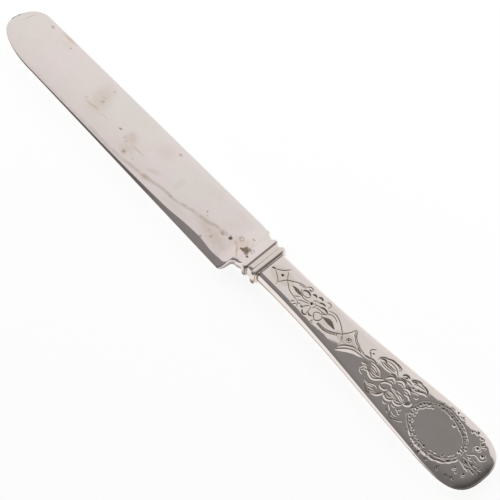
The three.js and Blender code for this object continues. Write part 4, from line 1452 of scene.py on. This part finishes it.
# faces on and near the engraving are cut smaller, so that it comes out crisp
def cutNearEngraving(piece, size, stations, across, plate):
    spread = plate.depth > 0
    for axis in (0, 1):
        grown = spread.copy()
        for shift in range(1, size["near"] + 1):
            grown |= np.roll(spread, shift, axis) | np.roll(spread, -shift, axis)
        spread = grown
    centres = np.empty(len(piece.data.polygons) * 3)
    piece.data.polygons.foreach_get("center", centres)
    u, y, outside, _, _ = rolled(centres.reshape(-1, 3), stations, across)
    i = np.clip(((u - plate.lowU) / plate.cell).astype(int), 0, spread.shape[0] - 1)
    j = np.clip(((wornSide(u, y) - plate.lowY) / plate.cell).astype(int), 0, spread.shape[1] - 1)
    bpy.ops.object.mode_set(mode="EDIT")
    bpy.ops.mesh.select_mode(type="FACE")
    bpy.ops.mesh.select_all(action="DESELECT")
    bpy.ops.object.mode_set(mode="OBJECT")
    piece.data.polygons.foreach_set("select", spread[i, j] & outside)
    bpy.ops.object.mode_set(mode="EDIT")
    bpy.ops.mesh.subdivide(number_cuts=size["cuts"], quadcorner="INNERVERT")
    bpy.ops.object.mode_set(mode="OBJECT")


# dirt and painted shade on a shell apart from the engraving's
def shellGrimeAndShade(u, z, isBack):
    size = handleSizes
    fromCollar = u - size["shellFront"]
    soilAndShade = size["frontSoil"] * bell(fromCollar, size["frontSoilReach"])
    fade = 1 - ramp(u, size["shellFront"], size["seamSoilEnd"])
    soilAndShade = np.maximum(soilAndShade, size["seamSoil"] * fade * bell(z, size["seamSoilHigh"]))
    # painted shade on the butt's end wall
    ending = ramp(u, size["endShadeStart"], size["endShadeFull"])
    soilAndShade = np.maximum(soilAndShade, size["endShade"] * ending * bell(z, size["endShadeHigh"], power=4))
    # painted shade on the back shell's lower wall by the collar
    if isBack:
        nearCollar = bell(fromCollar, size["startShadeReach"])
        soilAndShade = np.maximum(soilAndShade, size["startShade"] * nearCollar * bell(z, size["startShadeHigh"]))
    return soilAndShade


# u, y and height on the wall inside, from u, the entry in insideShares and the half width outside.
def insideWall(u, index, wide):
    wall = handleSizes["wall"]
    share = insideShares[index]
    u = np.minimum(u, innerLine[-1, 0])
    insideWide = np.interp(u, innerLine[:, 0], innerLine[:, 1])
    y = share * insideWide
    z = crownHeight(u, y, (1 - np.abs(share)) * insideWide, insideWide, wall)
    skin = crownHeight(u, y, rimGap(u, y), wide)
    return u, y, np.minimum(z, skin - wall)


def makeShell(name, size, side, plate=None):
    stations = shellStations(size)
    across = shellColumns(size)
    columns = len(across) + len(insideShares)
    deselectAll()
    bpy.ops.mesh.primitive_grid_add(x_subdivisions=len(stations) - 1, y_subdivisions=columns, size=2)
    piece = bpy.context.object
    piece.name = name
    if plate is not None:
        cutNearEngraving(piece, size, stations, across, plate)
    u, y, outside, halfWidth, around = rolled(pointsOf(piece), stations, across)
    wide = np.where(u > roundStart, handleSizes["buttHalf"], halfWidth)
    z = crownHeight(u, y, rimGap(u, y), wide)
    grimeAndShade = np.zeros_like(u)
    if plate is not None:
        z = z - plate.sample(plate.depth, u, wornSide(u, y))
        grimeAndShade = plate.sample(plate.soilAndShade, u, wornSide(u, y))
    grimeAndShade = np.maximum(grimeAndShade, shellGrimeAndShade(u, z, isBack=plate is None))
    inner = ~outside
    index = np.clip(np.round(around[inner] - len(across)), 0, len(insideShares) - 1).astype(int)
    u[inner], y[inner], z[inner] = insideWall(u[inner], index, wide[inner])
    z = np.maximum(z, handleSizes["seamHalf"])
    points = np.column_stack([-u, wornSide(u, y), side * z])
    piece.data.vertices.foreach_set("co", points.ravel())
    paintGrimeAndShade(piece, np.where(outside, grimeAndShade, 0))
    bpy.ops.object.mode_set(mode="EDIT")
    bpy.ops.mesh.select_mode(type="VERT")
    bpy.ops.mesh.select_all(action="SELECT")
    bpy.ops.mesh.remove_doubles(threshold=weldReach)
    bpy.ops.mesh.select_all(action="DESELECT")
    bpy.ops.mesh.select_non_manifold(extend=False)
    bpy.ops.mesh.edge_face_add()
    closeSkin()
    return piece


frontShell = makeShell("brightCutShell", frontShellSizes, 1, facePlate)
finishPiece(frontShell, "front_shell", silver, creaseAngle=32)
backShell = makeShell("plainShell", backShellSizes, -1)
finishPiece(backShell, "back_shell", silver, creaseAngle=32)


# Solder: a strip round the seam and a ring at the collar, both filed a little below the silver.
solderSizes = {
    "sunk": 0.06, "halfThick": 0.12, "every": 14,  # points of the outline from section to section
    "ringFront": 3.83, "ringBack": 4.07, "ringSunk": 0.05, "ringCount": 36,
}


def makeSeamLine(name, size):
    keep = outerLine[:, 0] >= handleSizes["shellFront"]
    rim = outerLine[keep][::size["every"]]
    inward = outlineIn[keep][::size["every"]]
    outer = rim + inward * size["sunk"]
    inner = rim + inward * handleSizes["wall"]
    rings = []
    for mirrored, order in ((1, slice(None)), (-1, slice(None, None, -1))):
        for (u, y), (v, w) in zip(outer[order], inner[order]):
            y, w = wornSide(u, mirrored * y), wornSide(v, mirrored * w)
            rings.append(np.array([
                (-u, y, -size["halfThick"]),
                (-u, y, size["halfThick"]),
                (-v, w, size["halfThick"]),
                (-v, w, -size["halfThick"]),
            ]))
    return loftPiece(name, rings)


def makeCollarLine(name, size):
    def handleRing(u, inset):
        share = np.sin(np.linspace(-math.pi / 2, math.pi / 2, size["ringCount"]))
        halfWidth = np.interp(u, outerLine[:, 0], outerLine[:, 1])
        gap = (1 - np.abs(share)) * halfWidth
        z = crownHeight(np.full_like(share, u), share * halfWidth, gap, halfWidth, inset)
        upper = np.column_stack([np.full_like(share, -u), share * (halfWidth - inset), z])
        return np.vstack([upper, upper[-2:0:-1] * (1, 1, -1)])

    front, back = size["ringFront"], size["ringBack"]
    rings = [
        handleRing(front, size["ringSunk"]), handleRing(back, size["ringSunk"]),
        handleRing(back, handleSizes["wall"]), handleRing(front, handleSizes["wall"]),
    ]
    return loftPiece(name, rings, closeRound=True)


seamLine = makeSeamLine("seamSolderLine", solderSizes)
finishPiece(seamLine, "seam_solder", solder, creaseAngle=30)
collarLine = makeCollarLine("collarSolderRing", solderSizes)
finishPiece(collarLine, "collar_solder", solder, creaseAngle=30)

# The cement inside keeps its solid and takes the resin's looks.
cement = frame["nodes"]["cement"]
cement.data.materials.clear()
cement.data.materials.append(resin)


# Table, light and camera
studio = {
    "floorSize": 8.0,
    "floorGlow": 0.86,
    "floorWhite": (0.3, 0.3, 0.3, 1.0),
    "skyLow": 0.95,  # white walls round the table
    "skyHigh": 0.25,  # dim ceiling
    "skyDeep": 0.16,  # the dark room behind the camera
    "skyTurnLow": 0.2,  # height in the sky where the white backdrop ends
    "skyTurnHigh": 0.4,
    "skyLean": 0.6,  # how much lower it ends on the camera's side
    "cameraSide": (-0.85, 0.527, 0.0),
    "deepFrom": -0.3,  # turning to the camera, the ceiling darkens between these
    "deepTo": 0.6,
    "boxHeight": 0.3,
    "boxEdge": (0.0215, -0.1033),  # a point under the soft box's near edge
    "boxAlong": (0.9094, 0.416),  # that edge's direction
    "boxLong": 1.6,
    "boxWide": 1.1,
    "boxGlow": 0.81,
    "boxFade": 0.07,  # near its edge the box dims over this share of its width
    "boxEdgeGlow": 0.91,
}


white = (1.0, 1.0, 1.0, 1.0)


def bareMaterial(name):
    material = bpy.data.materials.new(name)
    material.use_nodes = True
    tree = material.node_tree
    tree.nodes.remove(tree.nodes["Principled BSDF"])
    return material, tree


def makeFloor(look):
    deselectAll()
    bpy.ops.mesh.primitive_plane_add(size=look["floorSize"])
    floor = bpy.context.object
    floor.name = "paleTable"
    material, tree = bareMaterial("pale table")
    light = put(tree, "ShaderNodeLightPath")
    seen = plus(tree, light.outputs["Is Camera Ray"], light.outputs["Is Glossy Ray"], clamp=True)
    seen = plus(tree, seen, light.outputs["Is Transmission Ray"], clamp=True)
    glow = put(tree, "ShaderNodeEmission", {
        "Color": white, "Strength": times(tree, seen, look["floorGlow"]),
    })
    matt = put(tree, "ShaderNodeBsdfDiffuse", {"Color": look["floorWhite"]})
    both = put(tree, "ShaderNodeAddShader", {0: glow.outputs[0], 1: matt.outputs[0]})
    tree.links.new(both.outputs[0], tree.nodes["Material Output"].inputs["Surface"])
    floor.data.materials.append(material)


def makeSky(look):
    world = bpy.data.worlds.new("studio walls")
    bpy.context.scene.world = world
    world.use_nodes = True
    tree = world.node_tree
    way = put(tree, "ShaderNodeTexCoord").outputs["Generated"]
    up = put(tree, "ShaderNodeSeparateXYZ", {0: way}).outputs["Z"]
    facing = put(tree, "ShaderNodeVectorMath", {0: way, 1: look["cameraSide"]}, operation="DOT_PRODUCT")
    toCamera = facing.outputs["Value"]
    up = plus(tree, up, times(tree, toCamera, look["skyLean"]))
    dim = look["skyHigh"], look["skyDeep"]
    ceiling = remap(tree, toCamera, look["deepFrom"], look["deepTo"], *dim, soft=True)
    glow = remap(tree, up, look["skyTurnLow"], look["skyTurnHigh"], look["skyLow"], ceiling, soft=True)
    light = put(tree, "ShaderNodeLightPath")
    level = put(tree, "ShaderNodeMix", {0: light.outputs["Is Camera Ray"], 2: glow, 3: 1.0}).outputs[0]
    backdrop = tree.nodes["Background"]
    backdrop.inputs["Color"].default_value = white
    tree.links.new(level, backdrop.inputs["Strength"])


def makeSoftBox(look):
    along = Vector((*look["boxAlong"], 0)).normalized()
    away = Vector((along.y, -along.x, 0))
    middle = Vector((*look["boxEdge"], look["boxHeight"])) + away * look["boxWide"] / 2
    deselectAll()
    bpy.ops.mesh.primitive_plane_add(size=1)
    box = bpy.context.object
    box.name = "softBox"
    bpy.ops.transform.resize(value=(look["boxLong"], look["boxWide"], 1))
    box.data.transform(Matrix.Translation(middle) @ Matrix.Rotation(math.atan2(along.y, along.x), 4, "Z")
                       @ Matrix.Diagonal((*box.scale, 1)))
    box.scale = (1, 1, 1)
    material, tree = bareMaterial("soft box")
    across = put(tree, "ShaderNodeSeparateXYZ", {0: put(tree, "ShaderNodeUVMap").outputs[0]}).outputs["Y"]
    edgeGlow = look["boxGlow"] * look["boxEdgeGlow"]
    level = remap(tree, across, 1.0, 1.0 - look["boxFade"], edgeGlow, look["boxGlow"])
    glow = put(tree, "ShaderNodeEmission", {"Color": white, "Strength": level})
    tree.links.new(glow.outputs[0], tree.nodes["Material Output"].inputs["Surface"])
    box.data.materials.append(material)
    box.visible_camera = False


cameraView = {
    "azimuth": 227.73,
    "elevation": 62.726,
    "distance": 0.95,
    "target": (-0.004484, -0.000552, 0.00339),
    "lens": 227.1,
    "sensor": 36.0,
    "clipStart": 0.01,
}


def makeCamera(look):
    turn, rise = math.radians(look["azimuth"]), math.radians(look["elevation"])
    back = Vector((math.sin(turn) * math.cos(rise), -math.cos(turn) * math.cos(rise), math.sin(rise)))
    lens = bpy.data.cameras.new("camera")
    lens.lens = look["lens"]
    lens.sensor_width = look["sensor"]
    lens.clip_start = look["clipStart"]
    camera = bpy.data.objects.new("camera", lens)
    bpy.context.scene.collection.objects.link(camera)
    camera.location = Vector(look["target"]) + back * look["distance"]
    camera.rotation_euler = back.to_track_quat("Z", "Y").to_euler()
    bpy.context.scene.camera = camera


makeFloor(studio)
makeSky(studio)
makeSoftBox(studio)
makeCamera(cameraView)
bpy.context.scene.view_settings.view_transform = "Standard"
print("studio ready")
